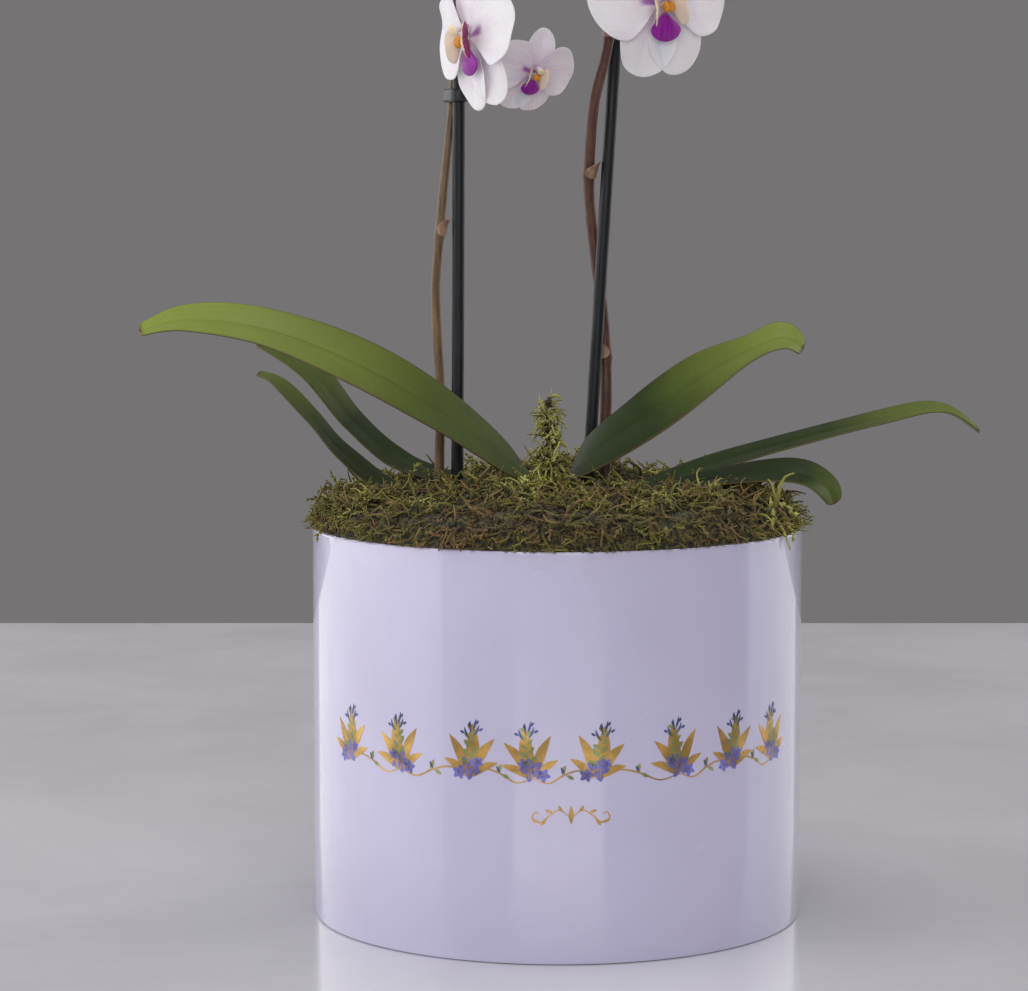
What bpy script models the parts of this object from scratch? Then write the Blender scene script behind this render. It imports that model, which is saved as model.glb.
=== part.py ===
"""A staked two-spike moth orchid in a lavender cylinder pot, with its moss, bark and inner pot.

Metres, +Z up. The pot stands on Z = 0 at the origin, and the plant's face looks towards -Y.
Heights of the plant are written above the pot's rim, so they follow the pot when its height changes.
"""
import math

import bmesh
import bpy
from mathutils import Matrix, Vector, noise

# ---- clearance and accuracy
GAP = 0.0003
WELD = 0.000001
UP = Vector((0.0, 0.0, 1.0))

# ---- pot
POT_RADIUS = 0.090
POT_HEIGHT = 0.144
POT_WALL = 0.002
POT_BASE = 0.003
POT_EDGE_ROUND = 0.0006
POT_SIDES = 56

# ---- nursery pot, packing and bark
NURSERY_TOP_RADIUS = 0.058
NURSERY_FOOT_RADIUS = 0.046
NURSERY_RIM_DROP = 0.0210
NURSERY_WALL = 0.0012
NURSERY_LIP = 0.003
NURSERY_SIDES = 32

# ---- moss
MOSS_FOOT_DROP = 0.0165
MOSS_RIM_RISE = 0.008
MOSS_CROWN_RISE = 0.0185
MOSS_LUMP = 0.0030
MOSS_LUMP_SIZE = 0.016
MOSS_OVERHANG = 0.0008
MOSS_UNDER_LEAF = 0.0016
MOSS_SIDES = 48
TUFT_ROOT_RISE = 0.003

# ---- moss tufts: x and y as shares of the pot's radius, then base radius and height in mm, and a seed
TUFTS = {
    "moss_tuft_front": (-0.04, -0.40, 6.5, 46, 1.0),
    "moss_clump_left": (-0.69, -0.40, 13, 16, 5.0),
    "moss_clump_right": (0.58, -0.51, 12, 16, 9.0),
}

# ---- crown and roots
CROWN_X = -0.002
CROWN_Y = -0.001
CROWN_RADIUS = 0.0052
CROWN_TOP_RISE = 0.0185
CROWN_FOOT_DROP = 0.042
ROOT_RADIUS = 0.0024
ROOT_COUNT = 5
ROOT_SPREAD = 0.030
ROOT_DEPTH = 0.050

# ---- leaves
LEAF_THICKNESS = 0.0019
LEAF_FOLD = 0.10
LEAF_ROWS = 12
LEAF_COLUMNS = 8

# ---- stakes, spikes and clips
STAKE_RADIUS = 0.0023
STAKE_SIDES = 12
STAKE_FOOT_RISE = 0.022
SPIKE_TO_STAKE = 0.0004
STAKE_TOPS = {"left": 0.262, "right": 0.278}
SPIKE_RADII = {"left": 0.0019, "right": 0.0024}
SPIKE_TIP_RADIUS = 0.0011
SPIKE_SIDES = 8
SPIKE_ROWS = 34
PEDICEL_RADIUS = 0.0010
PEDICEL_BEND = 0.42
BUD_PEDICEL_LENGTH = 0.011
PEDICEL_SIDES = 6
PEDICEL_ROWS = 7
CLIP_WALL = 0.0011
CLIP_HEIGHT = 0.0050

# ---- flowers and buds
SEPAL_REACH = 0.0270
DORSAL_BREADTH = 0.0095
LATERAL_BREADTH = 0.0115
PETAL_REACH = 0.0285
PETAL_BREADTH = 0.0150
PERIANTH_THICKNESS = 0.0011
PERIANTH_EDGE = 0.0007
PERIANTH_BOWL = 0.0030
HUB_RADIUS = 0.0040
LIP_REACH = 0.0100
LIP_WING = 0.0082
LIP_BREADTH = 0.0040
LIP_THICKNESS = 0.0010
LIP_CURL = 0.0062
LIP_DROP = 0.0032
COLUMN_RADIUS = 0.0021
COLUMN_LENGTH = 0.0068
COLUMN_RISE = 0.0016
BUD_RADIUS = 0.0052
BUD_LENGTH = 0.0130


def on_layer(layer, stations):
    """Raises a leaf that lies on another one, by a leaf's thickness for each layer."""
    lift = layer * LEAF_THICKNESS * 1000.0
    return tuple((x, y, rise + lift, half_width, lean) for x, y, rise, half_width, lean in stations)


# ---- leaf stations: x, y, height above the rim, half width, lean towards the front, all in mm and degrees
LEAVES = {
    "leaf_upper_left": (
        (-3.6, -2, 12.5, 3.2, 12), (-16, -9, 22, 14.0, 25), (-44, -18, 43, 17.5, 30), (-75, -24, 61, 18.0, 28),
        (-106, -27, 72.8, 15.5, 23), (-133, -28.5, 76, 12.5, 20), (-150, -30, 72, 6.5, 16),
    ),
    "leaf_upper_right": (
        (-0.4, -2, 12, 3.2, 12), (10, -7, 23, 13.5, 25), (29, -10, 37, 15.5, 30), (52, -11.5, 54, 15.5, 28),
        (71, -12, 65, 12.0, 18), (82, -12, 69, 10.5, 26), (89, -12, 65, 5.0, 30),
    ),
    "leaf_back_left": (
        (-3.6, 0, 2.5, 3.0, 0), (-20, 22.5, 7, 6.0, 4), (-41, 37, 12.5, 8.5, 8), (-61, 41.5, 19.5, 10.5, 14),
        (-78, 43, 34.5, 10.5, 16), (-94, 45, 53.5, 10.0, 16), (-114, 48.5, 64, 3.5, 12),
    ),
    "leaf_low_left": (
        (-3.6, -1, 6.5, 3.0, 4), (-26, 1, 7, 7.0, 4), (-58, 4, 11, 8.5, 6), (-79, 8, 24.5, 9.0, 8),
        (-91, 9.5, 38, 8.8, 8), (-103, 11.5, 50.5, 8.0, 6), (-111, 12, 54.5, 4.0, 4),
    ),
    "leaf_back_right": on_layer(1, (
        (-0.4, 0, 3.6, 3.0, 0), (14, 6, 5.1, 5.5, 0), (38, 20, 10.6, 9.0, 4), (71, 33, 20.1, 12.0, 6),
        (122, 38, 33.1, 12.0, 6), (146, 38.5, 37.1, 8.5, 8), (161, 39, 29.1, 3.0, 12),
    )),
    "leaf_low_right": (
        (-0.4, -2, 3.5, 3.0, 0), (20, -6, 6.5, 8.0, 6), (46, -9, 14.5, 11.5, 8), (72, -12, 19, 12.5, 12),
        (88, -14, 19.5, 11.0, 20), (97, -15, 15, 8.5, 24), (100.5, -16, 9, 3.6, 26),
    ),
}

# ---- stake lines: x, y at the rim, then x, y at STAKE_LINE_SPAN above it, in mm
STAKE_LINE_SPAN = 0.150
STAKE_LINES = {"left": ((-37.2, 20.0), (-36.3, 20.0)), "right": ((11.0, 20.0), (20.0, 20.0))}

# ---- spike routes: x, y, height above the rim, in mm
SPIKE_STATIONS = {
    "left": (
        (-2, 1, -5), (-14, 6, -5), (-28, 11, -4), (-38, 13.6, 0), (-43.6, 19, 10), (-43.6, 22, 28),
        (-43.6, 22, 50), (-45.2, 22, 82), (-43.8, 22, 104), (-41.6, 23, 128), (-38.6, 26, 157),
        (-37, 26.4, 190), (-34, 26, 226), (-28.5, 23, 262), (-18, 15, 294), (-3, 4, 318), (14, -5, 330),
    ),
    "right": (
        (-2, 1, -10), (6, 6, -9), (14, 13.5, -5), (18, 22, 5), (18.2, 24, 30), (18.6, 25, 50),
        (17.6, 26.5, 72), (14.8, 26.5, 96), (12.2, 24.5, 118), (12.2, 17.5, 138), (14, 14, 156),
        (18, 13, 172), (21.5, 12.4, 196), (25, 12, 228), (30, 11, 262), (40, 6, 296), (56, -2, 322),
        (76, -10, 336),
    ),
}
CLIP_HEIGHTS = {"left": (157, 236), "right": (190, 242)}

# ---- flowers: hub x, y, rise in mm, turn, lift and roll in degrees, size, rise of the pedicel's start
FLOWERS = {
    "left": (
        (-30.5, -10, 177, -62, -4, 8, 1.00, 206), (-9, 13, 165.5, 30, -24, -8, 0.62, 188),
        (-62, 8, 222, -22, 0, -10, 0.98, 244), (-14, 0, 251, 8, 5, 4, 0.94, 268),
    ),
    "right": (
        (36.5, -9, 189, 30, 2, 4, 1.00, 199), (6, -6, 218, 34, 0, -20, 0.96, 230),
        (68, -2, 240, 20, 2, 8, 0.96, 258), (36, -12, 271, 2, 8, -4, 0.90, 284),
    ),
}
# ---- buds: how far along the spike each starts, the side it leaves by (0 is the tip), and its size
BUDS = ((0.905, 1, 1.0), (1.0, 0, 0.75))

COLOURS = {
    "lavender_gloss": ((0.62, 0.58, 0.78, 1.0), 0.18),
    "nursery_plastic": ((0.10, 0.09, 0.08, 1.0), 0.45),
    "packing_foam": ((0.18, 0.24, 0.15, 1.0), 0.95),
    "bark": ((0.16, 0.09, 0.05, 1.0), 0.90),
    "moss": ((0.12, 0.12, 0.04, 1.0), 0.95),
    "crown_green": ((0.20, 0.30, 0.08, 1.0), 0.50),
    "leaf_green": ((0.12, 0.24, 0.05, 1.0), 0.38),
    "stake_black": ((0.012, 0.012, 0.015, 1.0), 0.30),
    "spike_brown": ((0.13, 0.055, 0.035, 1.0), 0.45),
    "petal_white": ((0.85, 0.82, 0.87, 1.0), 0.50),
    "lip_magenta": ((0.34, 0.02, 0.28, 1.0), 0.45),
    "column_white": ((0.80, 0.70, 0.74, 1.0), 0.45),
    "bud_pale": ((0.55, 0.60, 0.42, 1.0), 0.45),
}


def in_metres(values):
    """A point written in mm, as a vector in metres."""
    return Vector([value / 1000.0 for value in values])


def above_rim(x, y, rise):
    """A place in mm, with its height measured from the pot's rim, as a point in metres."""
    return in_metres((x, y, rise)) + UP * POT_HEIGHT


def curve_at(points, share):
    """A smooth curve through the given points, read at a share from 0 to 1 of its stations."""
    last = len(points) - 1
    place = min(max(share, 0.0), 1.0) * last
    index = min(int(place), last - 1)
    t = place - index
    before = points[max(index - 1, 0)]
    start = points[index]
    end = points[index + 1]
    after = points[min(index + 2, last)]
    result = []
    for a, b, c, d in zip(before, start, end, after):
        square = 2 * a - 5 * b + 4 * c - d
        cube = 3 * b - a - 3 * c + d
        result.append(0.5 * (2 * b + (c - a) * t + square * t * t + cube * t ** 3))
    return result


def make_material(name):
    colour, roughness = COLOURS[name]
    found = bpy.data.materials.get(name)
    if found:
        return found
    made = bpy.data.materials.new(name)
    made.use_nodes = True
    shader = made.node_tree.nodes["Principled BSDF"]
    shader.inputs["Base Color"].default_value = colour
    shader.inputs["Roughness"].default_value = roughness
    shader.inputs["Metallic"].default_value = 0.0
    made.diffuse_color = colour
    return made


def add_object(name, bm, material, sharp=math.radians(50)):
    """Turns a bmesh into a smooth-shaded object with one material."""
    mesh = bpy.data.meshes.new(name)
    bm.to_mesh(mesh)
    bm.free()
    mesh.shade_smooth()
    mesh.set_sharp_from_angle(angle=sharp)
    mesh.materials.append(make_material(material))
    thing = bpy.data.objects.new(name, mesh)
    bpy.context.scene.collection.objects.link(thing)
    return thing


def wrapped_body(columns, rows, place):
    """A closed body from a grid: place(u, v) puts each vertex, u runs round it and its ends are filled."""
    bm = bmesh.new()
    bmesh.ops.create_grid(bm, x_segments=columns, y_segments=rows, size=0.5)
    for vert in bm.verts:
        vert.co = place(vert.co.x + 0.5, vert.co.y + 0.5)
    bmesh.ops.remove_doubles(bm, verts=bm.verts, dist=WELD)
    open_edges = [edge for edge in bm.edges if edge.is_boundary]
    if open_edges:
        bmesh.ops.holes_fill(bm, edges=open_edges, sides=0)
    bmesh.ops.recalc_face_normals(bm, faces=bm.faces)
    return bm


def turned_body(profile, sides):
    """A closed body turned round Z from a profile of (radius, height) that starts and ends on the axis."""
    def place(u, v):
        radius, height = profile[round(v * (len(profile) - 1))]
        angle = 2 * math.pi * u
        return Vector((radius * math.cos(angle), radius * math.sin(angle), height))
    return wrapped_body(sides, len(profile) - 1, place)


def tube_frames(route, rows):
    """Centre and two directions across at each row, carried along the route so that it never twists."""
    step = 0.25 / rows
    frames = []
    side = Vector((1.0, 0.0, 0.0))
    for row in range(rows + 1):
        share = row / rows
        along = Vector(curve_at(route, share + step)) - Vector(curve_at(route, share - step))
        along.normalize()
        side = side - along * side.dot(along)
        if side.length < 0.1:
            side = along.cross(Vector((0.0, 1.0, 0.0)))
        side.normalize()
        frames.append((Vector(curve_at(route, share)), side.copy(), side.cross(along), along))
    return frames


def tube_body(route, radius_at, sides, rows, extend=0.0):
    """A round tube along a smooth route of points, with both ends closed and pushed out by extend."""
    frames = tube_frames(route, rows)

    def place(u, v):
        row = round(v * rows)
        centre, side, other, along = frames[row]
        if row == 0:
            centre = centre - along * extend
        if row == rows:
            centre = centre + along * extend
        angle = 2 * math.pi * u
        return centre + (side * math.cos(angle) + other * math.sin(angle)) * radius_at(v)
    return wrapped_body(sides, rows, place)


def hide_as_tool(thing):
    thing.hide_render = True
    thing.display_type = "WIRE"
    return thing


def boolean(target, tool, operation):
    """Adds an exact Boolean with one tool, or with every object of a collection."""
    modifier = target.modifiers.new(operation.lower(), "BOOLEAN")
    modifier.operation = operation
    modifier.solver = "EXACT"
    if isinstance(tool, bpy.types.Collection):
        modifier.operand_type = "COLLECTION"
        modifier.collection = tool
    else:
        modifier.object = tool


def tool_collection(name, tools):
    group = bpy.data.collections.new(name)
    bpy.context.scene.collection.children.link(group)
    for tool in tools:
        bpy.context.scene.collection.objects.unlink(tool)
        group.objects.link(hide_as_tool(tool))
    return group


# ---- heights and radii that several pieces share

def nursery_floor():
    return POT_BASE + GAP


def nursery_top():
    return POT_HEIGHT - NURSERY_RIM_DROP


def under_moss():
    """The height that the bark and the packing come up to, just under the moss."""
    return POT_HEIGHT - MOSS_FOOT_DROP - GAP


def nursery_radius(height):
    """The nursery pot's outer radius at a height."""
    share = (height - nursery_floor()) / (nursery_top() - nursery_floor())
    return NURSERY_FOOT_RADIUS + (NURSERY_TOP_RADIUS - NURSERY_FOOT_RADIUS) * min(max(share, 0.0), 1.0)


def stake_point(line, height):
    """The centre of a stake at a height in metres; it leans in a straight line."""
    share = (height - POT_HEIGHT) / STAKE_LINE_SPAN
    low = Vector(line[0]) / 1000.0
    high = Vector(line[1]) / 1000.0
    at = low.lerp(high, share)
    return Vector((at.x, at.y, height))


# ---- pot, nursery pot, packing and bark

def build_pot():
    inner = POT_RADIUS - POT_WALL
    edge = POT_EDGE_ROUND
    profile = (
        (0.0, 0.0), (POT_RADIUS - edge, 0.0), (POT_RADIUS, edge), (POT_RADIUS, POT_HEIGHT - edge),
        (POT_RADIUS - edge, POT_HEIGHT), (inner + edge, POT_HEIGHT), (inner, POT_HEIGHT - edge),
        (inner, POT_BASE), (0.0, POT_BASE),
    )
    add_object("pot_shell", turned_body(profile, POT_SIDES), "lavender_gloss", math.radians(35))


def build_nursery_pot():
    low = nursery_floor()
    top = nursery_top()
    wall = NURSERY_WALL
    under_lip = top - NURSERY_LIP
    profile = (
        (0.0, low), (NURSERY_FOOT_RADIUS, low), (nursery_radius(under_lip), under_lip),
        (nursery_radius(under_lip) + wall, under_lip + wall), (NURSERY_TOP_RADIUS + wall, top),
        (NURSERY_TOP_RADIUS - wall, top), (NURSERY_FOOT_RADIUS - wall, low + wall), (0.0, low + wall),
    )
    add_object("nursery_pot", turned_body(profile, NURSERY_SIDES), "nursery_plastic", math.radians(35))


def build_packing():
    """The ring of packing between the nursery pot and the lavender pot."""
    low = nursery_floor()
    top = under_moss()
    outer = POT_RADIUS - POT_WALL - GAP * 2
    inner = NURSERY_TOP_RADIUS + NURSERY_WALL + GAP * 2
    inner_low = NURSERY_FOOT_RADIUS + NURSERY_LIP + GAP * 2
    under_lip = nursery_top() - NURSERY_LIP * 2
    profile = ((inner_low, low), (outer, low), (outer, top), (inner, top), (inner, under_lip))

    def place(u, v):
        radius, height = profile[round(v * len(profile)) % len(profile)]
        angle = 2 * math.pi * u
        return Vector((radius * math.cos(angle), radius * math.sin(angle), height))
    ring = wrapped_body(NURSERY_SIDES, len(profile), place)
    add_object("packing_ring", ring, "packing_foam", math.radians(35))


def build_bark(cuts):
    """The bark that fills the nursery pot and holds the roots and stakes."""
    low = nursery_floor() + NURSERY_WALL + GAP
    top = under_moss()
    lip = nursery_top()
    inside = NURSERY_WALL / math.cos(math.pi / NURSERY_SIDES) + GAP * 2
    profile = (
        (0.0, low), (nursery_radius(low) - inside, low), (nursery_radius(lip) - inside, lip),
        (nursery_radius(lip) - inside * 3, top), (0.0, top),
    )
    bark = add_object("bark_medium", turned_body(profile, NURSERY_SIDES), "bark", math.radians(35))
    boolean(bark, cuts, "DIFFERENCE")


# ---- crown with its roots

def crown_body(grow):
    low = POT_HEIGHT - CROWN_FOOT_DROP
    top = POT_HEIGHT + CROWN_TOP_RISE
    wide = CROWN_RADIUS + grow
    profile = (
        (0.0, low - grow), (wide * 0.6, low - grow), (wide, low + CROWN_RADIUS), (wide, top - CROWN_RADIUS),
        (wide * 0.6, top - CROWN_RADIUS * 0.2 + grow), (0.0, top + grow),
    )
    body = turned_body(profile, 16)
    bmesh.ops.translate(body, verts=body.verts, vec=(CROWN_X, CROWN_Y, 0.0))
    return body


def root_body(index, grow):
    turn = 2 * math.pi * (index + 0.35) / ROOT_COUNT
    out = Vector((math.cos(turn), math.sin(turn), 0.0))
    start = Vector((CROWN_X, CROWN_Y, POT_HEIGHT - CROWN_FOOT_DROP + CROWN_RADIUS * 1.6))
    route = (
        start, start + out * ROOT_SPREAD * 0.45 - UP * ROOT_DEPTH * 0.12,
        start + out * ROOT_SPREAD * 0.85 - UP * ROOT_DEPTH * 0.45, start + out * ROOT_SPREAD - UP * ROOT_DEPTH,
    )
    return tube_body(route, lambda v: ROOT_RADIUS * (1.0 - 0.45 * v) + grow, 6, 6, grow)


def build_crown():
    crown = add_object("crown_and_roots", crown_body(0.0), "crown_green")
    roots = [add_object(f"tool_root_{n}", root_body(n, 0.0), "bark") for n in range(ROOT_COUNT)]
    boolean(crown, tool_collection("roots", roots), "UNION")


def crown_cutter():
    return hide_as_tool(add_object("tool_crown_pocket", crown_body(GAP), "bark"))


# ---- leaves

def leaf_frame(stations, share):
    """Centre, direction across, direction up, half width at a share of the leaf's length."""
    step = 0.01
    x, y, rise, half_width, lean = curve_at(stations, share)
    ahead = curve_at(stations, share + step)
    behind = curve_at(stations, share - step)
    along = (in_metres(ahead[:3]) - in_metres(behind[:3])).normalized()
    flat = along.cross(UP).normalized()
    up = flat.cross(along)
    far_side = 1.0 if flat.y > 0 else -1.0
    angle = math.radians(lean) * far_side
    across = flat * math.cos(angle) + up * math.sin(angle)
    return above_rim(x, y, rise), across, across.cross(along), half_width / 1000.0


def leaf_body(stations):
    def place(u, v):
        centre, across, up, half_width = leaf_frame(stations, v)
        angle = 2 * math.pi * u
        sideways = half_width * math.cos(angle)
        thick = LEAF_THICKNESS * (1.0 - 0.35 * v)
        height = thick / 2 * math.sin(angle) + LEAF_FOLD * abs(sideways)
        return centre + across * sideways + up * height
    return wrapped_body(LEAF_COLUMNS, LEAF_ROWS, place)


def build_leaves(crown_pocket):
    for name, stations in LEAVES.items():
        leaf = add_object(name, leaf_body(stations), "leaf_green")
        boolean(leaf, crown_pocket, "DIFFERENCE")


# ---- stakes, spikes and clips

def stake_body(side, grow, top_rise=None):
    line = STAKE_LINES[side]
    low = nursery_floor() + STAKE_FOOT_RISE - grow
    top = POT_HEIGHT + (top_rise or STAKE_TOPS[side]) + grow
    route = (stake_point(line, low), stake_point(line, top))
    return tube_body(route, lambda v: STAKE_RADIUS + grow, STAKE_SIDES, 1)


def spike_radius(side, share):
    base = SPIKE_RADII[side]
    return base + (SPIKE_TIP_RADIUS - base) * share ** 2


def spike_route(side):
    """The spike's centre line from root to tip, kept clear of its stake wherever it passes it."""
    route = []
    for row in range(SPIKE_ROWS + 1):
        share = row / SPIKE_ROWS
        point = above_rim(*curve_at(SPIKE_STATIONS[side], share))
        away = point - stake_point(STAKE_LINES[side], point.z)
        needed = STAKE_RADIUS + spike_radius(side, share) + SPIKE_TO_STAKE
        if point.z < POT_HEIGHT + STAKE_TOPS[side] + needed and away.length < needed:
            point += away.normalized() * (needed - away.length)
        route.append(point)
    return route


def spike_body(side, grow):
    return tube_body(spike_route(side), lambda v: spike_radius(side, v) + grow, SPIKE_SIDES, SPIKE_ROWS)


def spike_at(side, share):
    return Vector(curve_at(spike_route(side), share))


def spike_at_height(side, rise):
    """Where a spike's centre passes a height in mm above the rim, by halving; it climbs above the moss."""
    low, high = 0.25, 1.0
    for _ in range(20):
        middle = (low + high) / 2
        if spike_at(side, middle).z < POT_HEIGHT + rise / 1000.0:
            low = middle
        else:
            high = middle
    return spike_at(side, low)


def flower_matrix(x, y, rise, turn, lift, roll):
    """The place and facing of a flower: its local +Z is its face, and its local +Y is its top."""
    facing = Matrix.Rotation(math.radians(turn), 4, "Z") @ Matrix.Rotation(math.radians(90 - lift), 4, "X")
    return Matrix.Translation(above_rim(x, y, rise)) @ facing @ Matrix.Rotation(math.radians(roll), 4, "Z")


def pedicel_route(start, away, end, facing):
    """A single bend that leaves the spike sideways and meets the back of a flower squarely."""
    pull = max((end - start).length * PEDICEL_BEND, PEDICEL_RADIUS * 8)
    handles = (start, start + away * pull, end - facing * pull, end)
    route = []
    for row in range(PEDICEL_ROWS + 1):
        t = row / PEDICEL_ROWS
        weights = ((1 - t) ** 3, 3 * t * (1 - t) ** 2, 3 * t * t * (1 - t), t ** 3)
        route.append(sum((handle * weight for handle, weight in zip(handles, weights)), Vector()))
    return route


def flower_pedicel(side, flower):
    x, y, rise, turn, lift, roll, size, start_rise = flower
    matrix = flower_matrix(x, y, rise, turn, lift, roll)
    facing = (matrix.to_3x3() @ UP).normalized()
    back = matrix.translation - facing * (PERIANTH_THICKNESS * size / 2 + GAP * 1.6)
    start = spike_at_height(side, start_rise)
    sideways = 1.0 if back.x > start.x else -1.0
    away = Vector((sideways, -0.15, 0.25)).normalized()
    return tube_body(pedicel_route(start, away, back, facing), lambda v: PEDICEL_RADIUS * (1 + 0.4 * v * v),
                     PEDICEL_SIDES, PEDICEL_ROWS)


def bud_place(side, share, turn):
    """Where a bud's pedicel starts and ends, and which way the bud points; turn 0 is the spike's tip."""
    start = spike_at(side, share)
    along = (spike_at(side, share + 0.02) - spike_at(side, share - 0.02)).normalized()
    if turn == 0:
        return start, start, along
    sideways = along.cross(Vector((0.0, 1.0, 0.0))).normalized() * turn
    facing = (along * 0.5 + sideways + Vector((0.0, -0.6, -0.2))).normalized()
    return start, start + facing * BUD_PEDICEL_LENGTH, facing


def bud_pedicel(side, share, turn):
    start, end, facing = bud_place(side, share, turn)
    return tube_body((start, start.lerp(end, 0.5), end), lambda v: PEDICEL_RADIUS * 0.85, PEDICEL_SIDES, 2)


def build_spike(side, crown_pocket):
    spike = add_object(f"{side}_spike", spike_body(side, 0.0), "spike_brown")
    arms = [flower_pedicel(side, flower) for flower in FLOWERS[side]]
    arms += [bud_pedicel(side, share, turn) for share, turn, size in BUDS if turn != 0]
    tools = [add_object(f"tool_{side}_pedicel_{n}", arm, "spike_brown") for n, arm in enumerate(arms)]
    boolean(spike, tool_collection(f"{side}_pedicels", tools), "UNION")
    boolean(spike, crown_pocket, "DIFFERENCE")


def build_clip(name, side, rise):
    """A clip round a stake and its spike: a rounded plate with a hole for each."""
    stake = stake_point(STAKE_LINES[side], POT_HEIGHT + rise / 1000.0)
    apart = spike_at_height(side, rise) - stake
    apart.z = 0.0
    radius = max(STAKE_RADIUS, SPIKE_RADII[side]) + GAP + CLIP_WALL
    body = bmesh.new()
    bmesh.ops.create_circle(body, cap_ends=True, segments=20, radius=radius)
    for vert in body.verts:
        if vert.co.dot(apart) > 0:
            vert.co += apart
    top = bmesh.ops.extrude_face_region(body, geom=list(body.faces))
    top_verts = [item for item in top["geom"] if isinstance(item, bmesh.types.BMVert)]
    bmesh.ops.translate(body, verts=top_verts, vec=(0.0, 0.0, CLIP_HEIGHT))
    bmesh.ops.translate(body, verts=body.verts, vec=stake - UP * CLIP_HEIGHT / 2)
    bmesh.ops.recalc_face_normals(body, faces=body.faces)
    clip = add_object(name, body, "stake_black", math.radians(35))
    holes = [
        add_object(f"tool_{name}_stake", stake_body(side, GAP, 1.0), "bark"),
        add_object(f"tool_{name}_spike", spike_body(side, GAP), "bark"),
    ]
    boolean(clip, tool_collection(f"{name}_holes", holes), "DIFFERENCE")


def build_stems(crown_pocket):
    for side in ("left", "right"):
        add_object(f"{side}_stake", stake_body(side, 0.0), "stake_black")
        build_spike(side, crown_pocket)
        for level, rise in zip(("lower", "upper"), CLIP_HEIGHTS[side]):
            build_clip(f"{side}_clip_{level}", side, rise)


# ---- flowers and buds

def lobe_radius(angle, lobes, hub):
    """How far a flower's outline reaches at an angle: the farthest of its oval lobes, or the hub."""
    reach = hub
    for axis, length, breadth in lobes:
        turned = angle - math.radians(axis)
        semi = (length + hub * 0.5) / 2
        centre = length - semi
        square = (math.cos(turned) / semi) ** 2 + (math.sin(turned) / breadth) ** 2
        slope = -2 * centre * math.cos(turned) / semi ** 2
        rest = (centre / semi) ** 2 - 1
        reach = max(reach, (-slope + math.sqrt(slope * slope - 4 * square * rest)) / (2 * square))
    return reach


def whorl_body(lobes, hub, columns, thickness, edge, rise_at):
    """A closed thin body of oval lobes round a hub; rise_at(radius, angle) is its middle surface."""
    rows = ((0.0, 1), (0.52, 1), (1.0, 1), (1.0, -1), (0.52, -1), (0.0, -1))

    def place(u, v):
        share, face = rows[round(v * (len(rows) - 1))]
        angle = 2 * math.pi * u
        radius = lobe_radius(angle, lobes, hub) * share
        half = (thickness + (edge - thickness) * share) / 2
        height = rise_at(radius, angle) + face * half
        return Vector((radius * math.cos(angle), radius * math.sin(angle), height))
    return wrapped_body(columns, len(rows) - 1, place)


def sepal_body(size):
    lobes = [(90, SEPAL_REACH * size, DORSAL_BREADTH * size)]
    lobes += [(axis, SEPAL_REACH * size, LATERAL_BREADTH * size) for axis in (240, 300)]

    def bowl(radius, angle):
        return -PERIANTH_BOWL * size * (radius / (SEPAL_REACH * size)) ** 2
    return whorl_body(lobes, HUB_RADIUS * size, 36, PERIANTH_THICKNESS * size, PERIANTH_EDGE * size, bowl)


def petal_body(size):
    """Two broad petals that lie just in front of the sepals."""
    lobes = [(axis, PETAL_REACH * size, PETAL_BREADTH * size) for axis in (12, 168)]
    lift = PERIANTH_THICKNESS * size + GAP

    def bowl(radius, angle):
        return lift - PERIANTH_BOWL * size * (radius / (SEPAL_REACH * size)) ** 2
    return whorl_body(lobes, HUB_RADIUS * size, 32, PERIANTH_THICKNESS * size, PERIANTH_EDGE * size, bowl)


def perianth_front(size):
    """Local height of the petals' front face at the hub."""
    return PERIANTH_THICKNESS * size * 1.5 + GAP


def lip_body(size):
    """The lip: a tongue that points down and two wings, all curling forward from a small hub."""
    lobes = [(270, LIP_REACH * size, LIP_BREADTH * size)]
    lobes += [(axis, LIP_WING * size, LIP_BREADTH * size * 0.8) for axis in (5, 175)]
    lift = perianth_front(size) + GAP + LIP_THICKNESS * size / 2

    def curl(radius, angle):
        return lift + LIP_CURL * size * (radius / (LIP_WING * size)) ** 2
    thin = LIP_THICKNESS * size
    body = whorl_body(lobes, HUB_RADIUS * size * 0.45, 28, thin, thin * 0.6, curl)
    bmesh.ops.translate(body, verts=body.verts, vec=(0.0, -LIP_DROP * size, 0.0))
    return body


def column_body(size):
    """The column: a short rounded peg that stands forward from the hub, above the lip."""
    low = perianth_front(size) + GAP
    radius = COLUMN_RADIUS * size
    length = COLUMN_LENGTH * size
    profile = (
        (0.0, low), (radius * 0.8, low), (radius, low + length * 0.6), (radius * 0.7, low + length * 0.92),
        (0.0, low + length),
    )
    body = turned_body(profile, 8)
    bmesh.ops.translate(body, verts=body.verts, vec=(0.0, COLUMN_RISE * size, 0.0))
    return body


def build_flower(name, flower):
    x, y, rise, turn, lift, roll, size, start_rise = flower
    place = bpy.data.objects.new(name, None)
    bpy.context.scene.collection.objects.link(place)
    place.matrix_world = flower_matrix(x, y, rise, turn, lift, roll)
    parts = (
        ("sepals", sepal_body, "petal_white"), ("petals", petal_body, "petal_white"),
        ("lip", lip_body, "lip_magenta"), ("column", column_body, "column_white"),
    )
    for part, body, material in parts:
        piece = add_object(f"{name}_{part}", body(size), material)
        piece.parent = place


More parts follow.
